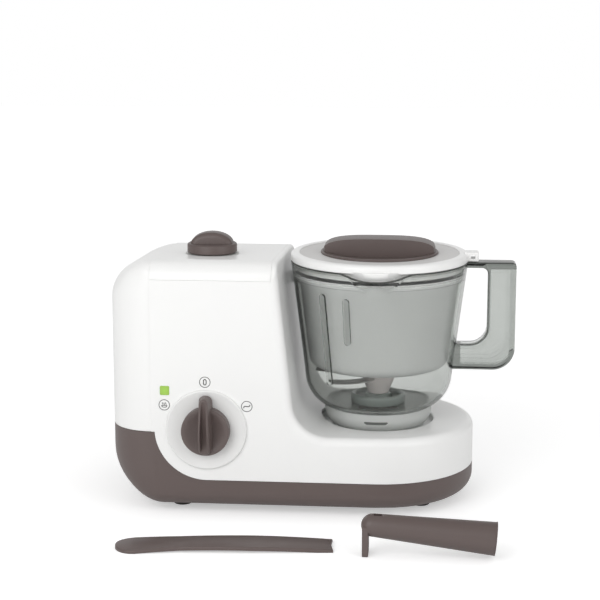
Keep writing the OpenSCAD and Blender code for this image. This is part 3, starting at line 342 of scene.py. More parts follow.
# the shallow dish, from a wide circle at the rim to the recess
dish = bmesh.new()
wide = bmesh.ops.create_circle(dish, segments=96, radius=DISH_R)["verts"]
bmesh.ops.translate(dish, vec=(DISH_X, 0, PLATFORM_H), verts=wide)
narrow = bmesh.ops.create_circle(dish, segments=96, radius=RECESS_R)["verts"]
bmesh.ops.translate(dish, vec=(0, 0, PLATFORM_H - DISH_DEPTH), verts=narrow)
bmesh.ops.bridge_loops(dish, edges=dish.edges[:])
bmesh.ops.holes_fill(dish, edges=[e for e in dish.edges if e.is_boundary], sides=0)
recess = turned(
    [(0, RECESS_Z), (HUB_HOLE_R + 3, RECESS_Z), (HUB_HOLE_R + 3, RECESS_Z + ISLAND_H),
     (ISLAND_R - 1, RECESS_Z + ISLAND_H), (ISLAND_R, RECESS_Z + ISLAND_H - 1), (ISLAND_R, RECESS_Z)]
    + [(RECESS_R - 1, RECESS_Z), (RECESS_R, RECESS_Z + 1)]
    + arc((RECESS_R + 1.5, PLATFORM_H - DISH_DEPTH - 1.5), 1.5, 180, 90, 6)
    + [(RECESS_R + 1.5, PLATFORM_H + 8), (0, PLATFORM_H + 8)]
)
hole = turned([(0, RECESS_Z - 6), (HUB_HOLE_R, RECESS_Z - 6), (HUB_HOLE_R, RECESS_Z + 3), (0, RECESS_Z + 3)])
worked(upper_housing, "DIFFERENCE", new_object("dish", dish, upright()),
       new_object("recess", recess, upright()), new_object("hole", hole, upright()))
softened(upper_housing)
upper_housing.data.materials.append(white_plastic)
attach(upper_housing, "base")
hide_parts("upper_housing")

# ---- Top cover ----
# A thin white plate that closes the tower above the boiler. It drops into a pocket of its own
# thickness, so that only a fine joint shows around it, and the filler stands up through it.
COVER_W = 100
COVER_T = 3
COVER_LOW_Z = 199
JOINT = 0.15
FILLER_X = -140.6
FILLER_Y = -21
FLANGE_R = 22.5


def cover_block(name, gap):
    """The space over the tower that the cover takes, less a gap all round."""
    outline = [(BAND_X + gap, COVER_LOW_Z + gap), (BAND_X + COVER_W - gap, COVER_LOW_Z + gap),
               (BAND_X + COVER_W - gap, FAR), (BAND_X + gap, FAR)]
    return new_object(name, pressed(outline, -FAR / 2, FAR / 2), facing_front(0, 0, 0))


def filler_hole(name, radius):
    """A round plug where the filler passes through the top."""
    bm = bmesh.new()
    bmesh.ops.create_cone(bm, cap_ends=True, segments=72, radius1=radius, radius2=radius, depth=60)
    return new_object(name, bm, upright(FILLER_X, FILLER_Y, TOWER_H))


pocket = body_form("pocket", inset=-1, drop=-1)
worked(pocket, "DIFFERENCE", body_form("seat", inset=COVER_T))
worked(pocket, "INTERSECT", cover_block("zone", 0))
worked(upper_housing, "DIFFERENCE", pocket, filler_hole("filler_hole", FLANGE_R + JOINT))
softened(upper_housing)
top_cover = body_form("Top_cover", band_step=BAND_STEP)
worked(top_cover, "INTERSECT", cover_block("zone", JOINT))
worked(top_cover, "DIFFERENCE", body_form("seat", inset=COVER_T - 0.1),
       filler_hole("filler_hole", FLANGE_R + JOINT))
softened(top_cover)
top_cover.data.materials.append(white_plastic)
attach(top_cover, "base")
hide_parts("top_cover")

# ---- Feet ----
# Four black rubber feet, pushed through the tub from outside; their stems keep them in place.
FOOT_R = 8
FEET = ((-164, -50), (-164, 50), (38, -36), (38, 36))
rubber = moulded("foot_rubber", (0.05, 0.045, 0.043), 0.75, grain=0.6, depth=0.3)
feet = bmesh.new()
for foot_x, foot_y in FEET:
    foot = turned([(0, 0)] + arc((FOOT_R - 1.2, 1.2), 1.2, 270, 360, 5)
                  + [(FOOT_R - 0.6, FLOOR_GAP), (3, FLOOR_GAP), (3, 9.5), (0, 9.5)], steps=48)
    bmesh.ops.translate(foot, vec=(foot_x, foot_y, 0), verts=foot.verts)
    one = bpy.data.meshes.new("one")
    foot.to_mesh(one)
    feet.from_mesh(one)
    foot.free()
    bpy.data.meshes.remove(one)
rubber_feet = softened(new_object("Rubber_feet", feet, upright()))
rubber_feet.data.materials.append(rubber)
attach(rubber_feet, "base")
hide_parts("rubber_feet")

# ---- Dial ring ----
# A white ring around the control knob, pressed into the front panel: its face is dished towards
# the knob, and its edge is a soft low bead.
BEZEL_R = 34
BEZEL_T = 2.4
KNOB_R = 20
ring = turned(
    [(5, 0.4), (KNOB_R + 0.5, 0.45), (BEZEL_R - 8, 1.15), (BEZEL_R - 2.6, 2.2)]
    + arc((BEZEL_R - 1.5, BEZEL_T - 1.2), 1.2, 110, 0, 8)
    + [(BEZEL_R - 0.3, 0.5), (BEZEL_R, 0), (5, 0)], closed=True)
dial_ring = softened(new_object("Dial_ring", ring, facing_front(DIAL_X, -HALF_DEPTH, DIAL_Z)), 40)
dial_ring.data.materials.append(moulded("ring_white", (0.80, 0.80, 0.79), 0.3, grain=0.8, depth=0.02, mottle=0.008))
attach(dial_ring, "base")
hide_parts("dial_bezel")

# ---- Printed dial marks ----
# Three small grey marks, pad-printed on the panel: a nought for off, a puff of steam and a blade.
# Each stands in a thin circle of its own.
MARK_R = 4.4
MARK_LINE = 0.6
INK_PROUD = 0.06
MARK_PLACES = {"off": (-139.4, 114.2), "steam": (-173.4, 94.2), "blade": (-104.8, 94.4)}


def ink_line(bm, points, width=MARK_LINE, closed=False):
    """One printed line along (x, y) points, a thin film on the panel."""
    count = len(points)
    left, right = [], []
    for i, (x, y) in enumerate(points):
        before = points[i - 1] if i or closed else points[i]
        after = points[(i + 1) % count] if i < count - 1 or closed else points[i]
        along = Vector((after[0] - before[0], after[1] - before[1])).normalized() * width / 2
        left.append(bm.verts.new((x - along.y, y + along.x, 0)))
        right.append(bm.verts.new((x + along.y, y - along.x, 0)))
    for i in range(count if closed else count - 1):
        j = (i + 1) % count
        bm.faces.new((left[i], right[i], right[j], left[j]))


marks = bmesh.new()
for mark, (mark_x, mark_z) in MARK_PLACES.items():
    drawn = bmesh.new()
    ink_line(drawn, arc((0, 0), MARK_R, 0, 350, 35), closed=True)
    if mark == "off":
        nought = quarter((0, 0.9), 1.1, 1.4, 0, 180, 12) + quarter((0, -0.9), 1.1, 1.4, 180, 360, 12)
        ink_line(drawn, nought, 0.8, closed=True)
    elif mark == "steam":
        for shift in (-1.3, 0, 1.3):
            ink_line(drawn, [(shift + 0.4 * math.sin(t * 0.9), 0.1 + t * 0.28) for t in range(8)], 0.5)
        ink_line(drawn, quarter((0, -0.5), 2.3, 1.5, 180, 360, 14), 0.6, closed=True)
    else:
        ink_line(drawn, arc((-1.3, -1.1), 1.2, 200, 70, 10) + arc((1.3, 1.1), 1.2, 250, 380, 10), 0.8)
    bmesh.ops.translate(drawn, vec=(mark_x - DIAL_X, mark_z - DIAL_Z, INK_PROUD), verts=drawn.verts)
    one = bpy.data.meshes.new("one")
    drawn.to_mesh(one)
    marks.from_mesh(one)
    drawn.free()
    bpy.data.meshes.remove(one)
dial_marks = new_object("Dial_marks", marks, facing_front(DIAL_X, -HALF_DEPTH, DIAL_Z))
dial_marks.modifiers.new("film", "SOLIDIFY").thickness = 0.05 * MM
grey_ink = moulded("grey_ink", (0.09, 0.09, 0.088), 0.55, grain=0.3, depth=0.05)
dial_marks.data.materials.append(grey_ink)
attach(dial_marks, "base")

# ---- Lamp window ----
# A small square of clear green plastic, lit from behind while the machine is on. It is snapped in
# from inside, and its face stands a hair proud.
LAMP_X = -173
LAMP_Z = 106.5
LAMP_HALF = 3.9


def lit_window(name, colour, glow):
    """Clear green plastic with a lamp behind its middle."""
    material = moulded(name, colour, 0.2, grain=0.5, depth=0.02)
    nodes, links = material.node_tree.nodes, material.node_tree.links
    shader = nodes["Principled BSDF"]
    where = nodes.new("ShaderNodeTexCoord")
    centred = nodes.new("ShaderNodeMapping")
    centred.vector_type = "TEXTURE"
    centred.inputs["Location"].default_value = facing_front(LAMP_X, -HALF_DEPTH, LAMP_Z).translation
    centred.inputs["Scale"].default_value = (0.0062, 0.0062, 0.0062)
    spot = nodes.new("ShaderNodeTexGradient")
    spot.gradient_type = "SPHERICAL"
    links.new(where.outputs["Object"], centred.inputs["Vector"])
    links.new(centred.outputs["Vector"], spot.inputs["Vector"])
    light = nodes.new("ShaderNodeMapRange")
    light.inputs["To Min"].default_value = glow * 0.35
    light.inputs["To Max"].default_value = glow
    links.new(spot.outputs["Fac"], light.inputs["Value"])
    links.new(light.outputs["Result"], shader.inputs["Emission Strength"])
    shader.inputs["Emission Color"].default_value = (0.35, 0.9, 0.1, 1)
    return material


lens_outline = [(c * (LAMP_HALF - 1) + x, s * (LAMP_HALF - 1) + y)
                for c, s, start in ((1, 1, 0), (-1, 1, 90), (-1, -1, 180), (1, -1, 270))
                for x, y in arc((0, 0), 1, start, start + 90, 5)]
lens = pressed(lens_outline, -WALL - 1, 0.55)
front_edges = [e for e in lens.edges if all(v.co.z > 0.5 for v in e.verts)]
bmesh.ops.bevel(lens, geom=front_edges, offset=0.35, offset_type="OFFSET", affect="EDGES",
                segments=3, profile=0.5, material=-1, clamp_overlap=True)
lamp_window = softened(new_object("Lamp_window", lens, facing_front(LAMP_X, -HALF_DEPTH, LAMP_Z)))
lamp_window.data.materials.append(lit_window("lamp_green", (0.28, 0.41, 0.07), 0.26))
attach(lamp_window, "base")
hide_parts("lamp_lens")

# ---- Control knob ----
# A brown moulded knob with a finger scoop on each side of its grip bar. The bar's rounded pointer
# passes over the ring. It is pressed on the switch's steel spindle.
KNOB_T = 8
GRIP_H = 12
GRIP_W = 9
POINTER_REACH = 30
knob = turned(
    [(0, 0), (KNOB_R, 0)] + arc((KNOB_R - 1.2, KNOB_T - 0.2), 1.2, 0, 80, 6)
    + [(KNOB_R - 2.6, KNOB_T + 0.8), (KNOB_R - 5, KNOB_T + 0.2), (11, KNOB_T - 1.5), (6, KNOB_T - 2.3),
       (0, KNOB_T - 2.5)], steps=96)
bar_low, bar_high = 1 - KNOB_R + GRIP_W / 2, POINTER_REACH - GRIP_W / 2
bar_outline = quarter((0, bar_high), 3.7, 4.4, 0, 180, 14)
bar_outline += [(-4.3, 6), (-4.5, -4)]
bar_outline += quarter((0, bar_low), 4.5, 4.4, 180, 360, 14) + [(4.5, -4), (4.3, 6)]
bar = pressed(bar_outline, 2.8, KNOB_T + GRIP_H - 0.4)
bar_top = [e for e in bar.edges if all(v.co.z > KNOB_T + GRIP_H - 1 for v in e.verts)]
bmesh.ops.bevel(bar, geom=bar_top, offset=1.5, offset_type="OFFSET", affect="EDGES",
                segments=5, profile=0.5, material=-1, clamp_overlap=True)
for vert in bar.verts:
    # the bar's flanks flare into the scoops, and its top falls to the pointer and runs out below
    up = (vert.co.z - 2.8) / (KNOB_T + GRIP_H - 3.2)
    vert.co.x *= 1 + 0.5 * (1 - up) ** 2
    vert.co.z -= up * 3.2 * max(vert.co.y / POINTER_REACH, 0) ** 2
    vert.co.z -= up * 10 * max(-vert.co.y / KNOB_R, 0) ** 2
seat = facing_front(DIAL_X, -HALF_DEPTH - 1, DIAL_Z)
control_knob = new_object("Control_knob", knob, seat)
worked(control_knob, "UNION", new_object("bar", bar, seat))
softened(control_knob, 35)
control_knob.data.materials.append(brown_plastic)
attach(control_knob, "knob")
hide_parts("control_knob")

# ---- Filler cap ----
# The brown screw cap of the water tank: a round cap with a domed grip across it. It closes on the
# filler's flange with a soft ring between them.
CAP_R = 21
CAP_H = 8.6
CAP_GRIP_H = 9.5
CAP_GRIP_HALF = 9
FLANGE_Z = 211.99
cap = turned([(0, 0.8), (CAP_R - 0.7, 0.8), (CAP_R, 1.5), (CAP_R, CAP_H - 1.6)]
             + arc((CAP_R - 1.6, CAP_H - 1.6), 1.6, 0, 90, 6) + [(0, CAP_H)], steps=96)
dome_top = CAP_H + CAP_GRIP_H - 0.1
dome_outline = quarter((0, CAP_H - 1), CAP_R - 3.2, dome_top - CAP_H + 1, 0, 180, 40)
dome = pressed(dome_outline, -CAP_GRIP_HALF, CAP_GRIP_HALF)
dome_rims = [e for e in dome.edges if abs(e.verts[0].co.z - e.verts[1].co.z) < 0.01
             and min(v.co.y for v in e.verts) > CAP_H - 0.99 or
             abs(e.verts[0].co.z - e.verts[1].co.z) < 0.01 and max(v.co.y for v in e.verts) > CAP_H - 0.99]
bmesh.ops.bevel(dome, geom=dome_rims, offset=4.2, offset_type="OFFSET", affect="EDGES",
                segments=6, profile=0.5, material=-1, clamp_overlap=True)
filler_cap = new_object("Filler_cap", cap, upright(FILLER_X, FILLER_Y, FLANGE_Z))
worked(filler_cap, "UNION", new_object("dome", dome, facing_front(FILLER_X, FILLER_Y, FLANGE_Z)))
softened(filler_cap, 40)
filler_cap.data.materials.append(brown_plastic)
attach(filler_cap, "filler_cap")
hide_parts("tank_cap")

# ---- Lock nut ----
# A reddish brown nylon nut that holds the jar's bearing from below: a round collar with six
# finger lobes at each of two levels.
NUT_R = 11.5
NUT_BORE_R = 9.5
NUT_H = 10
NUT_Z = 65.4
nut_plastic = moulded("nut_plastic", (0.165, 0.092, 0.075), 0.4, grain=0.35, depth=0.1)
collar = turned([(NUT_BORE_R, 0.5), (NUT_BORE_R + 0.5, 0), (NUT_R - 0.6, 0), (NUT_R, 0.6),
                 (NUT_R, NUT_H - 0.8), (NUT_R - 0.8, NUT_H), (NUT_BORE_R + 0.6, NUT_H),
                 (NUT_BORE_R, NUT_H - 0.6)], closed=True, steps=72)
lock_nut = new_object("Lock_nut", collar, upright(0, 0, NUT_Z))
lobes = []
for level, reach, lobe_r, start in ((0.8, NUT_R + 2.5, 4, 0), (5.2, NUT_R + 1.5, 3.6, 30)):
    for turn in range(start, 360, 60):
        lobe = bmesh.new()
        bmesh.ops.create_cone(lobe, cap_ends=True, segments=32, radius1=lobe_r, radius2=lobe_r, depth=3.6)
        bmesh.ops.bevel(lobe, geom=[e for e in lobe.edges if abs(e.verts[0].co.z - e.verts[1].co.z) < 0.1],
                        offset=0.8, offset_type="OFFSET", affect="EDGES", segments=3, profile=0.5,
                        material=-1, clamp_overlap=True)
        angle = math.radians(turn)
        bmesh.ops.translate(lobe, vec=(reach * math.cos(angle), reach * math.sin(angle), level + 1.8),
                            verts=lobe.verts)
        lobes.append(new_object("lobe", lobe, upright(0, 0, NUT_Z)))
worked(lock_nut, "UNION", *lobes)
bore = bmesh.new()
bmesh.ops.create_cone(bore, cap_ends=True, segments=72, radius1=NUT_BORE_R, radius2=NUT_BORE_R, depth=30)
worked(lock_nut, "DIFFERENCE", new_object("bore", bore, upright(0, 0, NUT_Z + 5)))
softened(lock_nut, 35)
lock_nut.data.materials.append(nut_plastic)
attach(lock_nut, "nut")
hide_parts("lock_nut")

# ---- Jar ----
# A 1.5 litre bowl of clear smoke-grey plastic, moulded in one piece with its pouring spout, the
# hollow-backed handle and the short tube that takes in the steam. The basket hangs on its ledge.
JAR_RIM_R = 75.5
JAR_RIM_Z = 204.5
JAR_LOW_R = 63
JAR_ROUND = 30
JAR_UNDER_Z = 76.5
JAR_WALL = 3
MOUTH_R = 72.6
LEDGE_Z = 190.5
JAR_TAPER = (JAR_RIM_R - JAR_LOW_R) / (JAR_RIM_Z - JAR_UNDER_Z - JAR_ROUND)
SPOUT_R = 32
SPOUT_Y = -52
SPOUT_H = 40
SPOUT_DIP = 5
HANDLE_X = 115.99
HANDLE_LOW_Z = 111.5
HANDLE_HALF = 9
GRIP_X = 92
GAP_LOW_Z = 133.5
GAP_TOP_Z = 199.5
STEAM_Y = 46
STEAM_Z = 180.5
SPIGOT_X = -70.75
SPIGOT_END_X = -50.4
STEM_R = 9.35
# depth of the painted dark band along the jar's rim
RIM_SHADE_DEPTH = 0.9


def bowl_profile(inset):
    """Half section of the bowl, from the middle of its floor to its rim, inset by a wall."""
    middle = (JAR_LOW_R - JAR_ROUND, JAR_UNDER_Z + JAR_ROUND)
    points = [(0, JAR_UNDER_Z + inset)] + arc(middle, JAR_ROUND - inset, 270, 355, 16)
    for z in (125, 150, 170, LEDGE_Z):
        points.append((JAR_RIM_R - inset - JAR_TAPER * (JAR_RIM_Z - z), z))
    return points


def spout_cone(name, inset):
    """The cone that swells the rim to the front into a spout, and runs a little past it."""
    bm = bmesh.new()
    past = 1 if inset else 0
    bmesh.ops.create_cone(bm, cap_ends=True, segments=96, radius1=10 - inset,
                          radius2=SPOUT_R - inset + past * 22 / SPOUT_H, depth=SPOUT_H + past)
    return new_object(name, bm, upright(0, SPOUT_Y, JAR_RIM_Z - (SPOUT_H - past) / 2))


def smoke_plastic(name, colour, roughness, depth_colour=None, density=0):
    """Clear plastic that darkens with its depth: smooth, with a moulded wall's faint waviness."""
    material = bpy.data.materials.new(name)
    material.use_nodes = True
    nodes, links = material.node_tree.nodes, material.node_tree.links
    shader = nodes["Principled BSDF"]
    shader.inputs["Transmission Weight"].default_value = 1.0
    shader.inputs["IOR"].default_value = 1.45
    where = nodes.new("ShaderNodeTexCoord")
    cloud = nodes.new("ShaderNodeTexNoise")
    cloud.inputs["Scale"].default_value = 30
    cloud.inputs["Detail"].default_value = 2
    tint = nodes.new("ShaderNodeMix")
    tint.data_type = "RGBA"
    tint.inputs["A"].default_value = tuple(c * 0.97 for c in colour) + (1,)
    tint.inputs["B"].default_value = tuple(min(c * 1.03, 1) for c in colour) + (1,)
    polish = nodes.new("ShaderNodeMapRange")
    polish.inputs["To Min"].default_value = roughness * 0.7
    polish.inputs["To Max"].default_value = roughness * 1.3
    wave = nodes.new("ShaderNodeBump")
    wave.inputs["Strength"].default_value = 0.04
    wave.inputs["Distance"].default_value = 0.0005
    links.new(where.outputs["Object"], cloud.inputs["Vector"])
    links.new(cloud.outputs["Fac"], tint.inputs["Factor"])
    links.new(cloud.outputs["Fac"], polish.inputs["Value"])
    links.new(cloud.outputs["Fac"], wave.inputs["Height"])
    links.new(tint.outputs["Result"], shader.inputs["Base Color"])
    links.new(polish.outputs["Result"], shader.inputs["Roughness"])
    links.new(wave.outputs["Normal"], shader.inputs["Normal"])
    if depth_colour:
        smoke = nodes.new("ShaderNodeVolumeAbsorption")
        smoke.inputs["Color"].default_value = depth_colour + (1,)
        smoke.inputs["Density"].default_value = density
        links.new(smoke.outputs["Volume"], nodes["Material Output"].inputs["Volume"])
        # lamps shine on through it
        passing = nodes.new("ShaderNodeMixShader")
        links.new(nodes.new("ShaderNodeLightPath").outputs["Is Shadow Ray"], passing.inputs[0])
        links.new(shader.outputs["BSDF"], passing.inputs[1])
        links.new(nodes.new("ShaderNodeBsdfTransparent").outputs["BSDF"], passing.inputs[2])
        links.new(passing.outputs["Shader"], nodes["Material Output"].inputs["Surface"])
    return material


def finger_gap(grow):
    """The outline of the gap behind the grip, grown on all sides."""
    side = GRIP_X + grow
    low, top = GAP_LOW_Z - grow, GAP_TOP_Z + grow
    return ([(40, low)] + arc((side - 15, low + 15), 15, 270, 360, 12)
            + arc((side - 5, top - 5), 5, 0, 90, 6) + [(40, top)])


smoke_clear = smoke_plastic("smoke_clear", (0.96, 0.97, 0.96), 0.03, (0.20, 0.23, 0.20), 108)
lip = [(JAR_RIM_R - 0.1, JAR_RIM_Z - 1)] + arc((JAR_RIM_R - 0.9, JAR_RIM_Z - 0.8), 0.8, 0, 90, 4)
jar = new_object("Jar", turned(bowl_profile(0) + lip + [(0, JAR_RIM_Z)]), upright())
handle_outline = ([(40, HANDLE_LOW_Z)] + arc((HANDLE_X - 19, HANDLE_LOW_Z + 19), 19, 270, 360, 14)
                  + arc((HANDLE_X - 4, JAR_RIM_Z - 4), 4, 0, 90, 6) + [(40, JAR_RIM_Z)])
handle = new_object("handle", pressed(handle_outline, -HANDLE_HALF, HANDLE_HALF), facing_front(0, 0, 0))
worked(handle, "DIFFERENCE",
       new_object("gap", pressed(finger_gap(0), -20, 20), facing_front(0, 0, 0)))
rounding = bmesh.new()
rounding.from_mesh(handle.data)
bmesh.ops.remove_doubles(rounding, verts=rounding.verts, dist=0.01 * MM)
bmesh.ops.dissolve_limit(rounding, angle_limit=math.radians(1), verts=rounding.verts, edges=rounding.edges)
face_edges = [e for e in rounding.edges if len(e.link_faces) == 2 and e.calc_face_angle(0) > 1.3
              and abs(e.verts[0].co.y - e.verts[1].co.y) < 0.01 * MM]
bmesh.ops.bevel(rounding, geom=face_edges, offset=2.2 * MM, offset_type="OFFSET", affect="EDGES",
                segments=4, profile=0.5, material=-1, clamp_overlap=True)
rounding.to_mesh(handle.data)
rounding.free()
# shallow panels on both cheeks of the grip, and the hollow at its back
panel = ([(40, 122)] + arc((92, 138), 16, 270, 360, 12)
         + [(108, 196), (GRIP_X + 3.5, 196)] + finger_gap(3.5)[13:0:-1] + [(40, GAP_LOW_Z - 3.5)])
cheeks = [new_object("cheek", pressed(panel, low, high), facing_front(0, 0, 0))
          for low, high in ((HANDLE_HALF - 0.6, 20), (-20, 0.6 - HANDLE_HALF))]
lip_x = HANDLE_X - 5
channel = ([(70, 116)] + arc((HANDLE_X - 19, 132), 16, 270, 327, 10)
           + [(lip_x, 127), (lip_x, JAR_RIM_Z - 6), (GRIP_X + 2.5, JAR_RIM_Z - 6)]
           + arc((GRIP_X - 15, GAP_LOW_Z + 15), 17.5, 360, 270, 12) + [(70, GAP_LOW_Z - 2.5)])
channel_mouth = [(lip_x - 0.01, 127), (HANDLE_X + 2, 131), (HANDLE_X + 2, JAR_RIM_Z - 6), (lip_x - 0.01, JAR_RIM_Z - 6)]
worked(handle, "DIFFERENCE", *cheeks,
       new_object("channel", pressed(channel, 4.6 - HANDLE_HALF, HANDLE_HALF - 4.6), facing_front(0, 0, 0)),
       new_object("mouth", pressed(channel_mouth, 5.6 - HANDLE_HALF, HANDLE_HALF - 5.6), facing_front(0, 0, 0)))
spigot = turned([(0, 0), (4.6, 0), (5, 0.4), (5, SPIGOT_END_X - SPIGOT_X), (0, SPIGOT_END_X - SPIGOT_X)], steps=40)
spigot_place = upright(SPIGOT_X, STEAM_Y, STEAM_Z) @ Matrix.Rotation(math.pi / 2, 4, "Y")
worked(jar, "UNION", spout_cone("spout", 0), handle, new_object("spigot", spigot, spigot_place))
inside = bowl_profile(JAR_WALL) + [(MOUTH_R, LEDGE_Z), (MOUTH_R, JAR_RIM_Z - 0.8),
                                   (MOUTH_R + 0.8, JAR_RIM_Z + 0.01), (MOUTH_R + 0.8, JAR_RIM_Z + 9), (0, JAR_RIM_Z + 9)]
dip = bmesh.new()
bmesh.ops.create_cone(dip, cap_ends=True, segments=240, radius1=90, radius2=90, depth=120)
dip_place = upright(0, -120, JAR_RIM_Z - SPOUT_DIP + 90) @ Matrix.Rotation(math.pi / 2, 4, "X")
bore = turned([(0, -2), (2.5, -2), (2.5, 30), (0, 30)], steps=32)
stem_hole = turned([(0, JAR_UNDER_Z - 5), (STEM_R + 0.1, JAR_UNDER_Z - 5), (STEM_R + 0.1, JAR_UNDER_Z + 9),
                    (0, JAR_UNDER_Z + 9)])
worked(jar, "DIFFERENCE", new_object("inside", turned(inside), upright()), spout_cone("pour", 2.6),
       new_object("dip", dip, dip_place), new_object("bore", bore, spigot_place),
       new_object("stem_hole", stem_hole, upright()))
# two slim ribs inside the wall, which keep the basket from turning
ribs = []
for rib_angle, rib_top, rib_low in ((-40, 184, 104), (-21, 182, 142)):
    rib_outline = quarter((0, rib_top - 3), 2.8, 3, 0, 180, 10) + quarter((0, rib_low + 3), 2.8, 3, 180, 360, 10)
    rib = pressed([(x, z - JAR_RIM_Z) for x, z in rib_outline], -0.8, 1.8)
    tilt = math.atan(JAR_TAPER)
    rib_place = (upright(0, 0, JAR_RIM_Z) @ Matrix.Rotation(math.radians(rib_angle), 4, "Z")
                 @ Matrix.Translation((0, JAR_WALL - JAR_RIM_R, 0)) @ Matrix.Rotation(tilt, 4, "X")
                 @ Matrix.Rotation(-math.pi / 2, 4, "X") @ Matrix.Scale(-1, 4, (0, 1, 0)))
    ribs.append(new_object("rib", rib, rib_place))
worked(jar, "UNION", *ribs)
# the rim's topmost millimetre is painted an opaque dark grey: painted shade for the dark line the clear wall shows
# along its rim
rim_shade = jar.copy()
rim_shade.data = jar.data.copy()
rim_shade.name = "Jar_rim_shade"
bpy.context.scene.collection.objects.link(rim_shade)
for part, operation, past in ((rim_shade, "INTERSECT", 0), (jar, "DIFFERENCE", 0.02)):
    zone = new_object("zone", pressed([(-130, -130), (130, -130), (130, 130), (-130, 130)],
                                      -RIM_SHADE_DEPTH - past, 20), upright(0, 0, JAR_RIM_Z))
    dipped = bmesh.new()
    bmesh.ops.create_cone(dipped, cap_ends=True, segments=240, radius1=90 + RIM_SHADE_DEPTH + past,
                          radius2=90 + RIM_SHADE_DEPTH + past, depth=120)
    worked(zone, "UNION", new_object("dipped", dipped, dip_place))
    worked(part, operation, zone)
softened(rim_shade, 30)
rim_shade.data.materials.append(moulded("rim_painted_shade", (0.06, 0.065, 0.06), 0.25, grain=0.4, depth=0.02))
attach(rim_shade, "jar")
softened(jar, 30)
jar.data.materials.append(smoke_clear)
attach(jar, "jar")
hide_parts("jar")

# ---- Jar foot ----
# A frosted light grey ring, glued under the bowl's rounded bottom. It stands in the platform's
# recess; a slot at the front lets water out.
FOOT_RING_R = 46
FOOT_RING_Z = 62
foot_ring = turned(
    [(FOOT_RING_R, 79.4)] + [(FOOT_RING_R - 0.1, 77.4)]
    + quarter((FOOT_RING_R - 12, FOOT_RING_Z + 14), 12, 14, 355, 270, 14)
    + [(FOOT_RING_R - 13, FOOT_RING_Z), (FOOT_RING_R - 13, FOOT_RING_Z + 1)]
    + quarter((FOOT_RING_R - 12, FOOT_RING_Z + 13), 9, 11, 270, 360, 10)
    + [(FOOT_RING_R - 3, 78.15)], closed=True, steps=128)
jar_foot = new_object("Jar_foot", foot_ring, upright())
slot_outline = quarter((9, 0), 1.25, 1.25, -90, 90, 8) + quarter((-9, 0), 1.25, 1.25, 90, 270, 8)
frosted = smoke_plastic("frosted_grey", (0.80, 0.82, 0.80), 0.5)
frosted.node_tree.nodes["Principled BSDF"].inputs["Transmission Weight"].default_value = 0.45
# the slot's walls are painted a dark grey: painted shade for the dark inside of the slot
slot_painted_shade = moulded("slot_painted_shade", (0.13, 0.14, 0.13), 0.5)
jar_foot.data.materials.append(frosted)
jar_foot.data.materials.append(slot_painted_shade)
slot = new_object("slot", pressed(slot_outline, 44.4, 60), facing_front(0, 0, 72))
slot.data.materials.append(slot_painted_shade)
worked(jar_foot, "DIFFERENCE", slot)
softened(jar_foot, 35)
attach(jar_foot, "jar")
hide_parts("jar_foot")

# ---- Bearing flange ----
# The blade's bearing goes through the bowl's floor. Its grey-green flange has a raised lip, and
# the nut draws its stem down from below.
RING_R = 23.5
RING_Z = 88
HUB_R = 15
FLOOR_Z = JAR_UNDER_Z + JAR_WALL
bearing = turned(
    [(7.05, 68), (STEM_R, 68), (STEM_R, FLOOR_Z), (RING_R - 0.4, FLOOR_Z), (RING_R, FLOOR_Z + 0.6)]
    + arc((RING_R - 2.2, RING_Z - 2.2), 2.2, 0, 150, 10)
    + [(RING_R - 4.6, RING_Z - 3.4), (RING_R - 6, RING_Z - 4), (HUB_R - 3, RING_Z - 4)]
    + arc((HUB_R - 4.9, RING_Z - 0.9), 0.9, 0, 90, 4)
    + [(4.1, RING_Z), (4.1, 75), (7.05, 75)], closed=True)
jar_bearing = softened(new_object("Jar_bearing", bearing, upright()), 40)
flange_grey = moulded("flange_grey", (0.36, 0.40, 0.38), 0.3, grain=0.5, depth=0.05)
jar_bearing.data.materials.append(flange_grey)
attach(jar_bearing, "jar")
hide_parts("jar_bearing")

# ---- Blade hub ----
# A pinkish white moulded bulb, pressed over the steel spindle. It carries both blades, and a low
# fin on its crown helps to lift it out.
HUB_Z = 88.4
HUB_TOP_Z = 130.4
hub = turned(
    [(4.05, HUB_Z), (8.6, HUB_Z), (9, HUB_Z + 0.5), (9.6, HUB_Z + 3), (11.4, HUB_Z + 7), (13.6, HUB_Z + 12),
     (14.7, HUB_Z + 16.5), (HUB_R, HUB_Z + 21)]
    + arc((0, HUB_TOP_Z - HUB_R), HUB_R, 0, 84, 16) + [(0, HUB_TOP_Z), (0, HUB_TOP_Z - 8), (4.05, HUB_TOP_Z - 8)],
    closed=True)
blade_hub = new_object("Blade_hub", hub, upright())
fin_outline = quarter((-1, 0), 8.5, 13.2, 0, 180, 24)
fin = pressed(fin_outline, -2.4, 2.4)
fin_rims = [e for e in fin.edges if abs(e.verts[0].co.z - e.verts[1].co.z) < 0.01 and max(v.co.y for v in e.verts) > 0.5]
bmesh.ops.bevel(fin, geom=fin_rims, offset=1.4, offset_type="OFFSET", affect="EDGES", segments=4,
                profile=0.5, material=-1, clamp_overlap=True)
worked(blade_hub, "UNION", new_object("fin", fin, facing_front(-3, 0, HUB_TOP_Z - HUB_R + 2.2)))
softened(blade_hub, 40)
hub_white = moulded("hub_white", (0.80, 0.73, 0.72), 0.38, grain=0.5, depth=0.05)
blade_hub.data.materials.append(hub_white)
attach(blade_hub, "blade")
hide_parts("blade_hub")

# ---- Blades ----
# Two pairs of sickle arms, stamped from 1.6 mm stainless steel. Their outer edges are ground, and
# the rear of each arm stays dull.
BLADE_T = 1.6
BLADE_W = 11
UPPER_Z = 110.46
LOWER_Z = 102.46


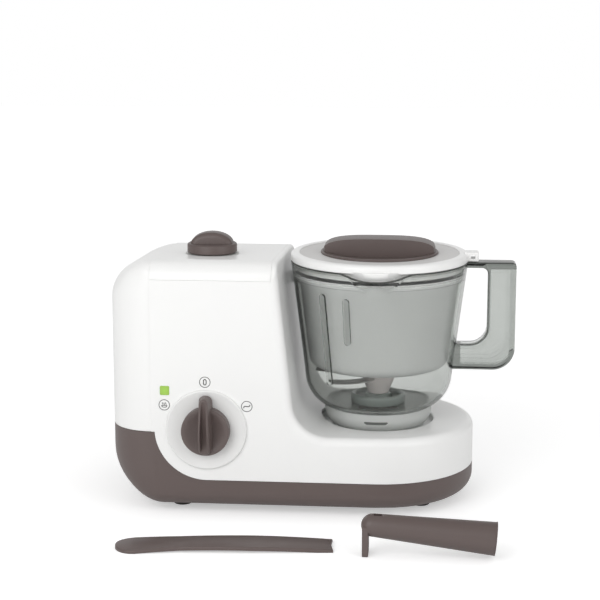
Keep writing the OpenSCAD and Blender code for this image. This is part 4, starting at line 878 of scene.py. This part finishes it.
def brushed_steel(name, colour, roughness):
    """Stainless steel with fine grinding lines across the arms."""
    material = bpy.data.materials.new(name)
    material.use_nodes = True
    nodes, links = material.node_tree.nodes, material.node_tree.links
    shader = nodes["Principled BSDF"]
    shader.inputs["Metallic"].default_value = 1.0
    where = nodes.new("ShaderNodeTexCoord")
    drawn = nodes.new("ShaderNodeMapping")
    drawn.inputs["Scale"].default_value = (1, 14, 1)
    lines = nodes.new("ShaderNodeTexNoise")
    lines.inputs["Scale"].default_value = 160
    lines.inputs["Detail"].default_value = 4
    shade = nodes.new("ShaderNodeMix")
    shade.data_type = "RGBA"
    shade.inputs["A"].default_value = tuple(c * 0.86 for c in colour) + (1,)
    shade.inputs["B"].default_value = tuple(min(c * 1.1, 1) for c in colour) + (1,)
    polish = nodes.new("ShaderNodeMapRange")
    polish.inputs["To Min"].default_value = roughness * 0.75
    polish.inputs["To Max"].default_value = roughness * 1.25
    bump = nodes.new("ShaderNodeBump")
    bump.inputs["Strength"].default_value = 0.15
    bump.inputs["Distance"].default_value = 0.0001
    links.new(where.outputs["Object"], drawn.inputs["Vector"])
    links.new(drawn.outputs["Vector"], lines.inputs["Vector"])
    links.new(lines.outputs["Fac"], shade.inputs["Factor"])
    links.new(lines.outputs["Fac"], polish.inputs["Value"])
    links.new(lines.outputs["Fac"], bump.inputs["Height"])
    links.new(shade.outputs["Result"], shader.inputs["Base Color"])
    links.new(polish.outputs["Result"], shader.inputs["Roughness"])
    links.new(bump.outputs["Normal"], shader.inputs["Normal"])
    return material


def sickle_blade(name, height, reach, turn):
    """Two arms that curl with the turn, joined at a round middle with a hole for the spindle."""
    bend = reach * 0.62
    centre = (bend - 2, -bend * 0.35)
    arms = []
    for side in (0, 180):
        outer = [p for p in arc(centre, bend, 152, 18, 40) if math.hypot(*p) <= reach - 0.2]
        inner = [p for p in arc((centre[0] - BLADE_W / 4, centre[1] - BLADE_W), bend, 20, 146, 40)
                 if math.hypot(*p) <= reach - 4]
        arm = pressed(outer + inner, 0, BLADE_T)
        ground = [e for e in arm.edges if all(v.co.z > BLADE_T / 2 for v in e.verts) and
                  all(abs(math.hypot(v.co.x - centre[0], v.co.y - centre[1]) - bend) < 0.05 for v in e.verts)]
        bmesh.ops.bevel(arm, geom=ground, offset=1.1, offset_type="OFFSET", affect="EDGES", segments=1,
                        profile=0.5, material=-1, clamp_overlap=True)
        place = upright(0, 0, height) @ Matrix.Rotation(math.radians(side + turn), 4, "Z")
        arms.append(new_object("arm", arm, place))
    middle = turned([(4.05, 0), (HUB_R - 3, 0), (HUB_R - 3, BLADE_T), (4.05, BLADE_T)], closed=True, steps=64)
    blade = new_object(name, middle, upright(0, 0, height))
    return softened(worked(blade, "UNION", *arms), 25)


blade_steel = brushed_steel("blade_steel", (0.50, 0.49, 0.48), 0.3)
for blade_name, node, height, reach, turn in (("Upper_blade", "upper_blade", UPPER_Z, 56, 0),
                                              ("Lower_blade", "lower_blade", LOWER_Z, 50, 24)):
    blade = sickle_blade(blade_name, height, reach, turn)
    blade.data.materials.append(blade_steel)
    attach(blade, "blade")
    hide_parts(node)

# ---- Steaming basket ----
# A milky white polypropylene cup that hangs on the jar's ledge by its flared lip. A hollow dome
# clears the blade's hub, and a notched lug at the side is for lifting it out hot.
VESSEL_WALL = 1.8
LIP_DROP = 8.8
BASKET_RIM_R = 72.2
BASKET_RIM_Z = 193.66
BASKET_BODY_R = 67.5
BASKET_FLOOR_R = 50
BASKET_Z = 113.66
BASKET_EDGE = 10
DOME_R = 19
DOME_Z = 133.9
LUG_RISE = 9


def vessel_side(rim_r, rim_z, body_r, floor_r, floor_z, edge):
    """Half section of a flared cup, from the outside of its floor over the rim to the inside."""
    wall = VESSEL_WALL
    outer = arc((floor_r, floor_z + edge), edge, 270, 356, 10)
    outer += [(body_r, rim_z - LIP_DROP), (rim_r, rim_z - 0.7)]
    rim = arc((rim_r - 0.7, rim_z - 0.7), 0.7, 0, 90, 4) + [(rim_r - wall + 0.3, rim_z)]
    inner = [(rim_r - wall, rim_z - 0.4), (body_r - wall, rim_z - LIP_DROP + 0.5)]
    inner += arc((floor_r, floor_z + edge), edge - wall, 356, 270, 10)
    return outer + rim + inner


def milky(name, colour, roughness):
    """Unpigmented polypropylene: light scatters through the thin wall, and the skin is waxy."""
    material = moulded(name, colour, roughness, grain=0.7, depth=0.04, mottle=0.015)
    shader = material.node_tree.nodes["Principled BSDF"]
    shader.inputs["Subsurface Weight"].default_value = 0.55
    shader.inputs["Subsurface Radius"].default_value = (0.006, 0.006, 0.006)
    shader.inputs["Subsurface Scale"].default_value = 1.0
    shader.inputs["Transmission Weight"].default_value = 0.12
    return material


milky_plastic = milky("milky_plastic", (0.985, 0.985, 0.98), 0.38)
profile = vessel_side(BASKET_RIM_R, BASKET_RIM_Z, BASKET_BODY_R, BASKET_FLOOR_R, BASKET_Z, BASKET_EDGE)
floor_top = BASKET_Z + VESSEL_WALL
dome_side = DOME_R + VESSEL_WALL
profile += [(dome_side + 2, floor_top)] + arc((dome_side + 2, floor_top + 2), 2, 270, 180, 4)
profile += arc((dome_side - 4, DOME_Z + VESSEL_WALL - 4), 4, 0, 90, 8)
profile += [(0, DOME_Z + VESSEL_WALL), (0, DOME_Z)] + arc((DOME_R - 3, DOME_Z - 3), 3, 90, 0, 6)
profile += [(DOME_R, BASKET_Z + 0.6), (DOME_R + 0.6, BASKET_Z)]
basket = new_object("Basket", turned(profile, closed=True, steps=128), upright())
lug = pressed([(65.7, 190.8), (MOUTH_R - 0.4, 190.8), (MOUTH_R - 0.4, BASKET_RIM_Z + LUG_RISE),
               (65.7, BASKET_RIM_Z + LUG_RISE)], -4.5, 4.5)
bmesh.ops.bevel(lug, geom=[e for e in lug.edges if any(v.co.y > 195 for v in e.verts)], offset=0.6,
                offset_type="OFFSET", affect="EDGES", segments=3, profile=0.5, material=-1, clamp_overlap=True)
worked(basket, "UNION", new_object("lug", lug, facing_front(0, 0, 0)))
notch = pressed([(60, BASKET_RIM_Z + LUG_RISE - 3), (80, BASKET_RIM_Z + LUG_RISE - 3),
                 (80, BASKET_RIM_Z + 20), (60, BASKET_RIM_Z + 20)], -1.2, 1.2)
holes = bmesh.new()
for turn in range(0, 360, 30):
    drill = bmesh.ops.create_cone(holes, cap_ends=True, segments=20, radius1=2, radius2=2, depth=8)["verts"]
    angle = math.radians(turn)
    reach = (DOME_R + BASKET_FLOOR_R) / 2
    bmesh.ops.translate(holes, vec=(reach * math.cos(angle), reach * math.sin(angle), BASKET_Z + 1), verts=drill)
worked(basket, "DIFFERENCE", new_object("notch", notch, facing_front(0, 0, 0)),
       new_object("holes", holes, upright()))
softened(basket)
basket.data.materials.append(milky_plastic)
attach(basket, "basket")
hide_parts("basket")

# ---- Tray ----
# A shallow milky tray with a finely perforated floor, hung inside the basket's lip. Its rim is
# notched around the basket's lug, and has a small lug of its own beside it.
TRAY_RIM_R = 71.8
TRAY_RIM_Z = 195.26
TRAY_BODY_R = 63
TRAY_FLOOR_R = 53
TRAY_Z = 169.26
TRAY_EDGE = 6
HOLE_PITCH = 6.5
HOLE_RINGS = 6
HOLE_R = 1.5

profile = vessel_side(TRAY_RIM_R, TRAY_RIM_Z, TRAY_BODY_R, TRAY_FLOOR_R, TRAY_Z, TRAY_EDGE)
profile += [(0, TRAY_Z + VESSEL_WALL), (0, TRAY_Z)]
tray = new_object("Tray", turned(profile, closed=True, steps=128), upright())
lug = pressed([(TRAY_BODY_R, 194), (MOUTH_R - 0.8, 194), (MOUTH_R - 0.8, TRAY_RIM_Z + 1.5),
               (TRAY_BODY_R, TRAY_RIM_Z + 1.5)], 5.6, 9)
worked(tray, "UNION", new_object("lug", lug, facing_front(0, 0, 0)))
notch = pressed([(TRAY_BODY_R, TRAY_RIM_Z - LIP_DROP + 0.5), (90, TRAY_RIM_Z - LIP_DROP + 0.5),
                 (90, TRAY_RIM_Z + 5), (TRAY_BODY_R, TRAY_RIM_Z + 5)], -5.2, 5.2)
holes = bmesh.new()
for ring in range(1, HOLE_RINGS + 1):
    for hole in range(6 * ring):
        drill = bmesh.ops.create_cone(holes, cap_ends=True, segments=14, radius1=HOLE_R, radius2=HOLE_R,
                                      depth=8)["verts"]
        angle = math.radians(60 * hole / ring)
        bmesh.ops.translate(holes, vec=(ring * HOLE_PITCH * math.cos(angle), ring * HOLE_PITCH * math.sin(angle),
                                        TRAY_Z + 1), verts=drill)
worked(tray, "DIFFERENCE", new_object("notch", notch, facing_front(0, 0, 0)),
       new_object("holes", holes, upright()))
softened(tray)
tray.data.materials.append(milky_plastic)
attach(tray, "tray")
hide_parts("tray")

# ---- Lid ----
# A white moulded lid: a soft round rim, a slightly sunk top, a skirt with a soft seal that plugs
# the jar's mouth, a pouch that closes the spout, and a latch block over the handle.
LID_R = 75.5
LID_Z = 204.7
LID_TOP_Z = 211.7
SKIRT_R = 69.4
SKIRT_Z = 197.7
SINK_R = 68.5
LID_GRIP_R = 50

rim_and_skirt = (
    [(LID_GRIP_R - 4, 206.7), (66, 206.7), (67.2, 205.5), (67.2, 198.1), (67.6, SKIRT_Z), (SKIRT_R - 0.5, SKIRT_Z),
     (SKIRT_R, SKIRT_Z + 0.5), (SKIRT_R, LID_Z), (LID_R - 0.7, LID_Z), (LID_R, LID_Z + 0.7)]
    + arc((LID_R - 3, LID_TOP_Z - 3), 3, 0, 90, 8) + [(SINK_R + 1, LID_TOP_Z)]
    + arc((SINK_R + 0.4, LID_TOP_Z - 0.9), 0.9, 80, 180, 5)[:-1]
    + [(SINK_R - 0.9, LID_TOP_Z - 1), (LID_GRIP_R - 4, LID_TOP_Z - 1)]
)
lid = new_object("Lid_shell", turned(rim_and_skirt, closed=True, steps=128), upright())
pouch = bmesh.new()
bmesh.ops.create_cone(pouch, cap_ends=True, segments=96, radius1=24.4, radius2=28.5, depth=7)
bmesh.ops.bevel(pouch, geom=[e for e in pouch.edges if all(v.co.z < 0 for v in e.verts)], offset=2,
                offset_type="OFFSET", affect="EDGES", segments=4, profile=0.5, material=-1, clamp_overlap=True)
pouch = new_object("pouch", pouch, upright(0, SPOUT_Y, 203))
trim = bmesh.new()
bmesh.ops.create_cone(trim, cap_ends=True, segments=128, radius1=LID_R + 3.5, radius2=LID_R + 3.5, depth=40)
worked(pouch, "INTERSECT", new_object("trim", trim, upright(0, 0, 203)))
hollow = bmesh.new()
bmesh.ops.create_cone(hollow, cap_ends=True, segments=128, radius1=67.2, radius2=67.2, depth=20)
worked(pouch, "DIFFERENCE", new_object("hollow", hollow, upright(0, 0, 196.7)))
latch = pressed([(71.5, LID_Z), (LID_R + 8.5, LID_Z), (LID_R + 8.5, LID_TOP_Z + 1), (71.5, LID_TOP_Z + 1)], -7, 7)
bmesh.ops.bevel(latch, geom=latch.edges[:], offset=1.2, offset_type="OFFSET", affect="EDGES", segments=4,
                profile=0.5, material=-1, clamp_overlap=True)
worked(lid, "UNION", pouch, new_object("latch", latch, facing_front(0, 0, 0)))
latch_slot = pressed([(LID_R + 2, LID_Z + 2.5), (LID_R + 5.5, LID_Z + 2.5), (LID_R + 5.5, LID_Z + 5.5),
                      (LID_R + 2, LID_Z + 5.5)], -12, 12)
relief = pressed([(60, SKIRT_Z - 1), (MOUTH_R, SKIRT_Z - 1), (MOUTH_R, LID_Z), (60, LID_Z)], -11, 11)
worked(lid, "DIFFERENCE", new_object("latch_slot", latch_slot, facing_front(0, 0, 0)),
       new_object("relief", relief, facing_front(0, 0, 0)))
softened(lid)
lid.data.materials.append(white_plastic)
# the sunk top is a darker grey than the polished rim, with a finer, matter grain
lid.data.materials.append(moulded("lid_top_grey", (0.66, 0.65, 0.64), 0.5, grain=0.5, depth=0.06, mottle=0.01))
for face in lid.data.polygons:
    middle = face.center - drive_axis
    if face.normal.z > 0.5 and math.hypot(middle.x, middle.y) < (SINK_R - 0.4) * MM and face.center.z > 0.2:
        face.material_index = 1
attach(lid, "lid")
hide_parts("lid_shell")

# ---- Lid grip ----
# A brown moulded dish set in the lid, with an arched bar across it to lift and turn the lid by.
# The dish falls away on both sides of the bar, which leaves room for the fingers.
GRIP_BAR_HALF = 12.5
GRIP_BAR_H = 12
GRIP_FULLNESS = 3.2
dish_r = LID_GRIP_R - 4.1
grip_dish = turned(
    [(0, LID_TOP_Z - 6), (dish_r, LID_TOP_Z - 6), (dish_r, LID_TOP_Z - 0.95), (LID_GRIP_R - 0.5, LID_TOP_Z - 0.95),
     (LID_GRIP_R, LID_TOP_Z - 0.5)] + arc((LID_GRIP_R - 1.3, LID_TOP_Z - 0.5), 1.3, 0, 90, 6)
    + [(LID_GRIP_R - 4, LID_TOP_Z + 0.75)]
    + quarter((LID_GRIP_R - 30, LID_TOP_Z + 0.6), 25, 3.4, 0, -90, 14) + [(0, LID_TOP_Z - 2.8)], steps=128)
lid_grip = new_object("Lid_grip", grip_dish, upright())
bar_top = LID_TOP_Z + GRIP_BAR_H
half_run = dish_r + 1.6
# a flat arch with full shoulders, which come down to the dish's edge
arch = []
for x, z in arc((0, 0), 1, 0, 180, 64):
    arch.append((half_run * math.copysign(abs(x) ** (2 / GRIP_FULLNESS), x),
                 LID_TOP_Z + (bar_top - LID_TOP_Z) * z ** (2 / GRIP_FULLNESS)))
bar_profile = [(-half_run, LID_TOP_Z - 4), (half_run, LID_TOP_Z - 4)] + arch
grip_bar = pressed(bar_profile, -GRIP_BAR_HALF, GRIP_BAR_HALF)
bar_rims = [e for e in grip_bar.edges if abs(e.verts[0].co.z - e.verts[1].co.z) < 0.01
            and min(v.co.y for v in e.verts) > LID_TOP_Z + 1]
bmesh.ops.bevel(grip_bar, geom=bar_rims, offset=2.4, offset_type="OFFSET", affect="EDGES", segments=5,
                profile=0.5, material=-1, clamp_overlap=True)
grip_bar = new_object("grip_bar", grip_bar, facing_front(0, 0, 0))
round_cut = bmesh.new()
bmesh.ops.create_cone(round_cut, cap_ends=True, segments=128, radius1=dish_r + 1.8, radius2=dish_r + 1.8, depth=60)
worked(grip_bar, "INTERSECT", new_object("round_cut", round_cut, upright(0, 0, LID_TOP_Z)))
worked(lid_grip, "UNION", grip_bar)
softened(lid_grip, 35)
lid_grip.data.materials.append(brown_plastic)
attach(lid_grip, "lid")
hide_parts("lid_grip")

# ---- Spatula ----
# A thin brown paddle for scraping out the jar: one end round, the other cut square. It is gently
# bowed along its length, with soft edges all round.
SPATULA_X = -184
SPATULA_Y = -165
SPATULA_W = 32
SPATULA_RUN = 156
SPATULA_T = 3.5
SPATULA_TURN = 5
CAMBER_R = 1200
waist = SPATULA_W / 2 - 1.5
paddle = pressed(arc((0, 0), SPATULA_W / 2, 90, 270, 32)
                 + [(SPATULA_RUN * 0.22, 1.5 - waist), (SPATULA_RUN * 0.6, -waist)]
                 + [(SPATULA_RUN - 1.4 * math.cos(math.pi * y / 26), y) for y in range(-13, 14, 2)]
                 + [(SPATULA_RUN * 0.6, waist), (SPATULA_RUN * 0.22, waist - 1.5)], 0, SPATULA_T)
bmesh.ops.bevel(paddle, geom=paddle.edges[:], offset=1.3, offset_type="OFFSET", affect="EDGES", segments=4,
                profile=0.5, material=-1, clamp_overlap=True)
for cut_x in range(-12, 156, 6):
    bmesh.ops.bisect_plane(paddle, geom=paddle.verts[:] + paddle.edges[:] + paddle.faces[:], dist=0.001,
                           plane_co=(cut_x, 0, 0), plane_no=(1, 0, 0))
run = 172 - SPATULA_W
chord_rise = CAMBER_R - math.sqrt(CAMBER_R ** 2 - run * run / 4)
for vert in paddle.verts:
    off = vert.co.x - run / 2
    bow = math.sqrt(CAMBER_R ** 2 - off * off) - CAMBER_R + chord_rise
    if vert.co.z > SPATULA_T / 2:
        vert.co.z += 1.4 * (1 - (vert.co.y * 2 / SPATULA_W) ** 2) - 0.7
    vert.co.z = max(vert.co.z + bow, 0)
spatula_place = upright(SPATULA_X, SPATULA_Y, 0) @ Matrix.Rotation(math.radians(SPATULA_TURN), 4, "Z")
spatula = softened(new_object("Spatula", paddle, spatula_place), 40)
spatula.data.materials.append(brown_plastic)
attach(spatula, "spatula")
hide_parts("spatula")

# ---- Extraction tool ----
# A brown tapered tube, open at its wide end, with a slotted leg under its round tip. It hooks the
# basket's lug, and the tube slips over the jar's steam end.
TOOL_X = 3
TOOL_Y = -165
TOOL_L = 96
TOOL_TIP_R = 9
TOOL_END_R = 13.5
TOOL_LEG = 33
TOOL_WALL = 2.2
slope = math.asin((TOOL_LEG - TOOL_TIP_R - 2 - TOOL_END_R) / TOOL_L)
tube = turned(
    arc((0, 0), TOOL_TIP_R, -90, -4, 14) + [(TOOL_TIP_R + 0.4, 8), (TOOL_END_R - 0.4, TOOL_L - 0.8)]
    + arc((TOOL_END_R - 0.6, TOOL_L - 0.6), 0.6, 0, 90, 3)
    + [(TOOL_END_R - TOOL_WALL + 1.1, TOOL_L), (TOOL_END_R - TOOL_WALL + 0.7, TOOL_L - 0.5),
       (TOOL_TIP_R - TOOL_WALL + 0.3, 15), (TOOL_TIP_R - TOOL_WALL - 1, 14), (0, 14)], steps=72)
tool_place = upright(TOOL_X, TOOL_Y, TOOL_LEG - TOOL_TIP_R)
tool = new_object("Extraction_tool", tube, tool_place @ Matrix.Rotation(math.pi / 2 + slope, 4, "Y"))
leg_outline = ([(-7, TOOL_TIP_R - TOOL_LEG), (7, TOOL_TIP_R - TOOL_LEG)]
               + [(8, TOOL_TIP_R - TOOL_LEG + 1), (8, 0), (5, 2), (-5, 2), (-8, 0), (-8, TOOL_TIP_R - TOOL_LEG + 1)])
leg = pressed(leg_outline, -8, -3)
bmesh.ops.bevel(leg, geom=[e for e in leg.edges if abs(e.verts[0].co.z - e.verts[1].co.z) < 0.01], offset=0.9,
                offset_type="OFFSET", affect="EDGES", segments=3, profile=0.5, material=-1, clamp_overlap=True)
leg_place = tool_place @ Matrix.Rotation(math.pi / 2, 4, "Z") @ Matrix.Rotation(math.pi / 2, 4, "X")
worked(tool, "UNION", new_object("leg", leg, leg_place))
leg_slot = pressed(quarter((0, -10.5), 2.5, 2.5, 0, 180, 10) + quarter((0, -15.5), 2.5, 2.5, 180, 360, 10), -10, 1)
tip_recess = pressed([(1, -2.6), (7, -2.6), (7, 2.6), (1, 2.6)], 5.5, 20)
worked(tool, "DIFFERENCE", new_object("leg_slot", leg_slot, leg_place),
       new_object("tip_recess", tip_recess, tool_place))
softened(tool, 35)
tool.data.materials.append(brown_plastic)
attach(tool, "tool")
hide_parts("extraction_tool")

# ---- Inner parts ----
# What the housings hide or half show keeps its CAD shape: boiler, pipes, motor, belt, boards,
# switches, seals and screws, each in its own metal, rubber or plastic.


def dressed(material, *nodes):
    """Gives each part one finish in place of its plain colour."""
    for node in nodes:
        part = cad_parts[node]
        part.data.materials.clear()
        part.data.materials.append(material)


dressed(brushed_steel("bright_steel", (0.60, 0.60, 0.59), 0.28), "housing_screws", "knob_spindle", "drive_shaft",
        "blade_spindle", "motor_can", "motor_bracket", "motor_rotor")
dressed(brushed_steel("boiler_alloy", (0.66, 0.67, 0.68), 0.45), "boiler")
dressed(brushed_steel("bush_bronze", (0.55, 0.36, 0.17), 0.4), "shaft_bushes")
dressed(moulded("belt_rubber", (0.025, 0.025, 0.025), 0.7, grain=0.5, depth=0.3), "drive_belt")
dressed(moulded("soft_silicone", (0.62, 0.62, 0.60), 0.55, grain=0.8, depth=0.05), "cap_gasket", "foot_seal",
        "lid_seal", "steam_pipe")
dressed(moulded("outlet_grey", (0.34, 0.34, 0.33), 0.5, grain=0.5, depth=0.1), "steam_outlet")
dressed(moulded("dark_plastic", (0.05, 0.05, 0.052), 0.45, grain=0.5, depth=0.1), "heating_element", "thermostat", "interlock_switch", "cord_gland")
dressed(moulded("board_green", (0.03, 0.16, 0.08), 0.5, grain=0.4, depth=0.08, mottle=0.2), "lamp_board",
        "control_board")
dressed(moulded("inner_plastic", (0.62, 0.62, 0.60), 0.45, grain=0.6, depth=0.06), "rotary_switch",
        "boiler_shelf", "filler_neck", "bearing_housing", "drive_pulley", "motor_pulley", "interlock_plunger")
dressed(brown_plastic, "drive_coupling")

# ---- The table and the light ----
# A plain white table top. It runs out into a white backdrop, and keeps the machine's soft shadow.


def seen_directly(nodes, links):
    """One for what is seen by the camera or through clear plastic, less in a shine, else nought."""
    path = nodes.new("ShaderNodeLightPath")
    total = path.outputs["Is Camera Ray"]
    for ray, share in (("Is Glossy Ray", 0.35), ("Is Transmission Ray", 1)):
        step = nodes.new("ShaderNodeMath")
        step.operation = "MULTIPLY_ADD"
        step.use_clamp = True
        links.new(path.outputs[ray], step.inputs[0])
        step.inputs[1].default_value = share
        links.new(total, step.inputs[2])
        total = step.outputs[0]
    return total


table_white = bpy.data.materials.new("table_white")
table_white.use_nodes = True
nodes, links = table_white.node_tree.nodes, table_white.node_tree.links
surface = nodes["Principled BSDF"]
surface.inputs["Base Color"].default_value = (0.82, 0.82, 0.82, 1)
surface.inputs["Roughness"].default_value = 0.9
surface.inputs["Specular IOR Level"].default_value = 0.1
where = nodes.new("ShaderNodeTexCoord")
centred = nodes.new("ShaderNodeMapping")
centred.vector_type = "TEXTURE"
centred.inputs["Location"].default_value = upright(-53, 0).translation
centred.inputs["Scale"].default_value = (0.9, 0.9, 0.9)
near = nodes.new("ShaderNodeTexGradient")
near.gradient_type = "SPHERICAL"
lift = nodes.new("ShaderNodeMapRange")
lift.inputs["From Max"].default_value = 0.75
lift.inputs["To Min"].default_value = 0.55
lift.inputs["To Max"].default_value = 0.42
only_seen = nodes.new("ShaderNodeMath")
only_seen.operation = "MULTIPLY"
surface.inputs["Emission Color"].default_value = (1, 1, 1, 1)
links.new(where.outputs["Object"], centred.inputs["Vector"])
links.new(centred.outputs["Vector"], near.inputs["Vector"])
links.new(near.outputs["Fac"], lift.inputs["Value"])
links.new(lift.outputs["Result"], only_seen.inputs[0])
links.new(seen_directly(nodes, links), only_seen.inputs[1])
links.new(only_seen.outputs[0], surface.inputs["Emission Strength"])

table_mesh = bmesh.new()
bmesh.ops.create_grid(table_mesh, x_segments=1, y_segments=1, size=4)
table = new_object("Table", table_mesh)
table.data.materials.append(table_white)

world = bpy.data.worlds.new("World")
bpy.context.scene.world = world
world.use_nodes = True
nodes, links = world.node_tree.nodes, world.node_tree.links
backdrop = nodes["Background"]
backdrop.inputs["Color"].default_value = (1, 1, 1, 1)
level = nodes.new("ShaderNodeMapRange")
level.inputs["To Min"].default_value = 0.62
level.inputs["To Max"].default_value = 1.0
links.new(seen_directly(nodes, links), level.inputs["Value"])
# the white backdrop stands behind; what shines back from the room around is dimmer
heading = nodes.new("ShaderNodeTexCoord")
backwards = nodes.new("ShaderNodeVectorMath")
backwards.operation = "DOT_PRODUCT"
backwards.inputs[1].default_value = (-0.1, 0.98, 0.15)
room = nodes.new("ShaderNodeMapRange")
room.interpolation_type = "SMOOTHSTEP"
room.inputs["From Min"].default_value = 0.7
room.inputs["From Max"].default_value = 0.98
room.inputs["To Min"].default_value = 0.3
room.inputs["To Max"].default_value = 1.0
shine = nodes.new("ShaderNodeMix")
shine.data_type = "FLOAT"
links.new(heading.outputs["Generated"], backwards.inputs[0])
links.new(backwards.outputs["Value"], room.inputs["Value"])
links.new(nodes.new("ShaderNodeLightPath").outputs["Is Glossy Ray"], shine.inputs["Factor"])
links.new(level.outputs["Result"], shine.inputs["A"])
links.new(room.outputs["Result"], shine.inputs["B"])
links.new(shine.outputs["Result"], backdrop.inputs["Strength"])
bpy.context.scene.view_settings.view_transform = "Standard"

# a broad lamp at the front left, and a weaker one at the right
for name, place, power, size in (("Key", (-620, -1050, 620), 6.7, 1.0), ("Fill", (850, -700, 500), 3, 0.8)):
    lamp = bpy.data.lights.new(name, "AREA")
    lamp.energy = power
    lamp.size = size
    light = bpy.data.objects.new(name, lamp)
    bpy.context.scene.collection.objects.link(light)
    light.location = upright(*place).translation
    aim = upright(-50, 0, 100).translation - light.location
    light.rotation_euler = aim.to_track_quat("-Z", "Y").to_euler()

# ---- The camera ----
# It stands in front, a little to the right and above.
camera_data = bpy.data.cameras.new("Camera")
camera_data.lens = 100
camera = bpy.data.objects.new("Camera", camera_data)
bpy.context.scene.collection.objects.link(camera)
camera.location = upright(54, -1400, 450).translation
target = upright(-68, 0, 168).translation
camera.rotation_euler = (target - camera.location).to_track_quat("-Z", "Y").to_euler()
bpy.context.scene.camera = camera
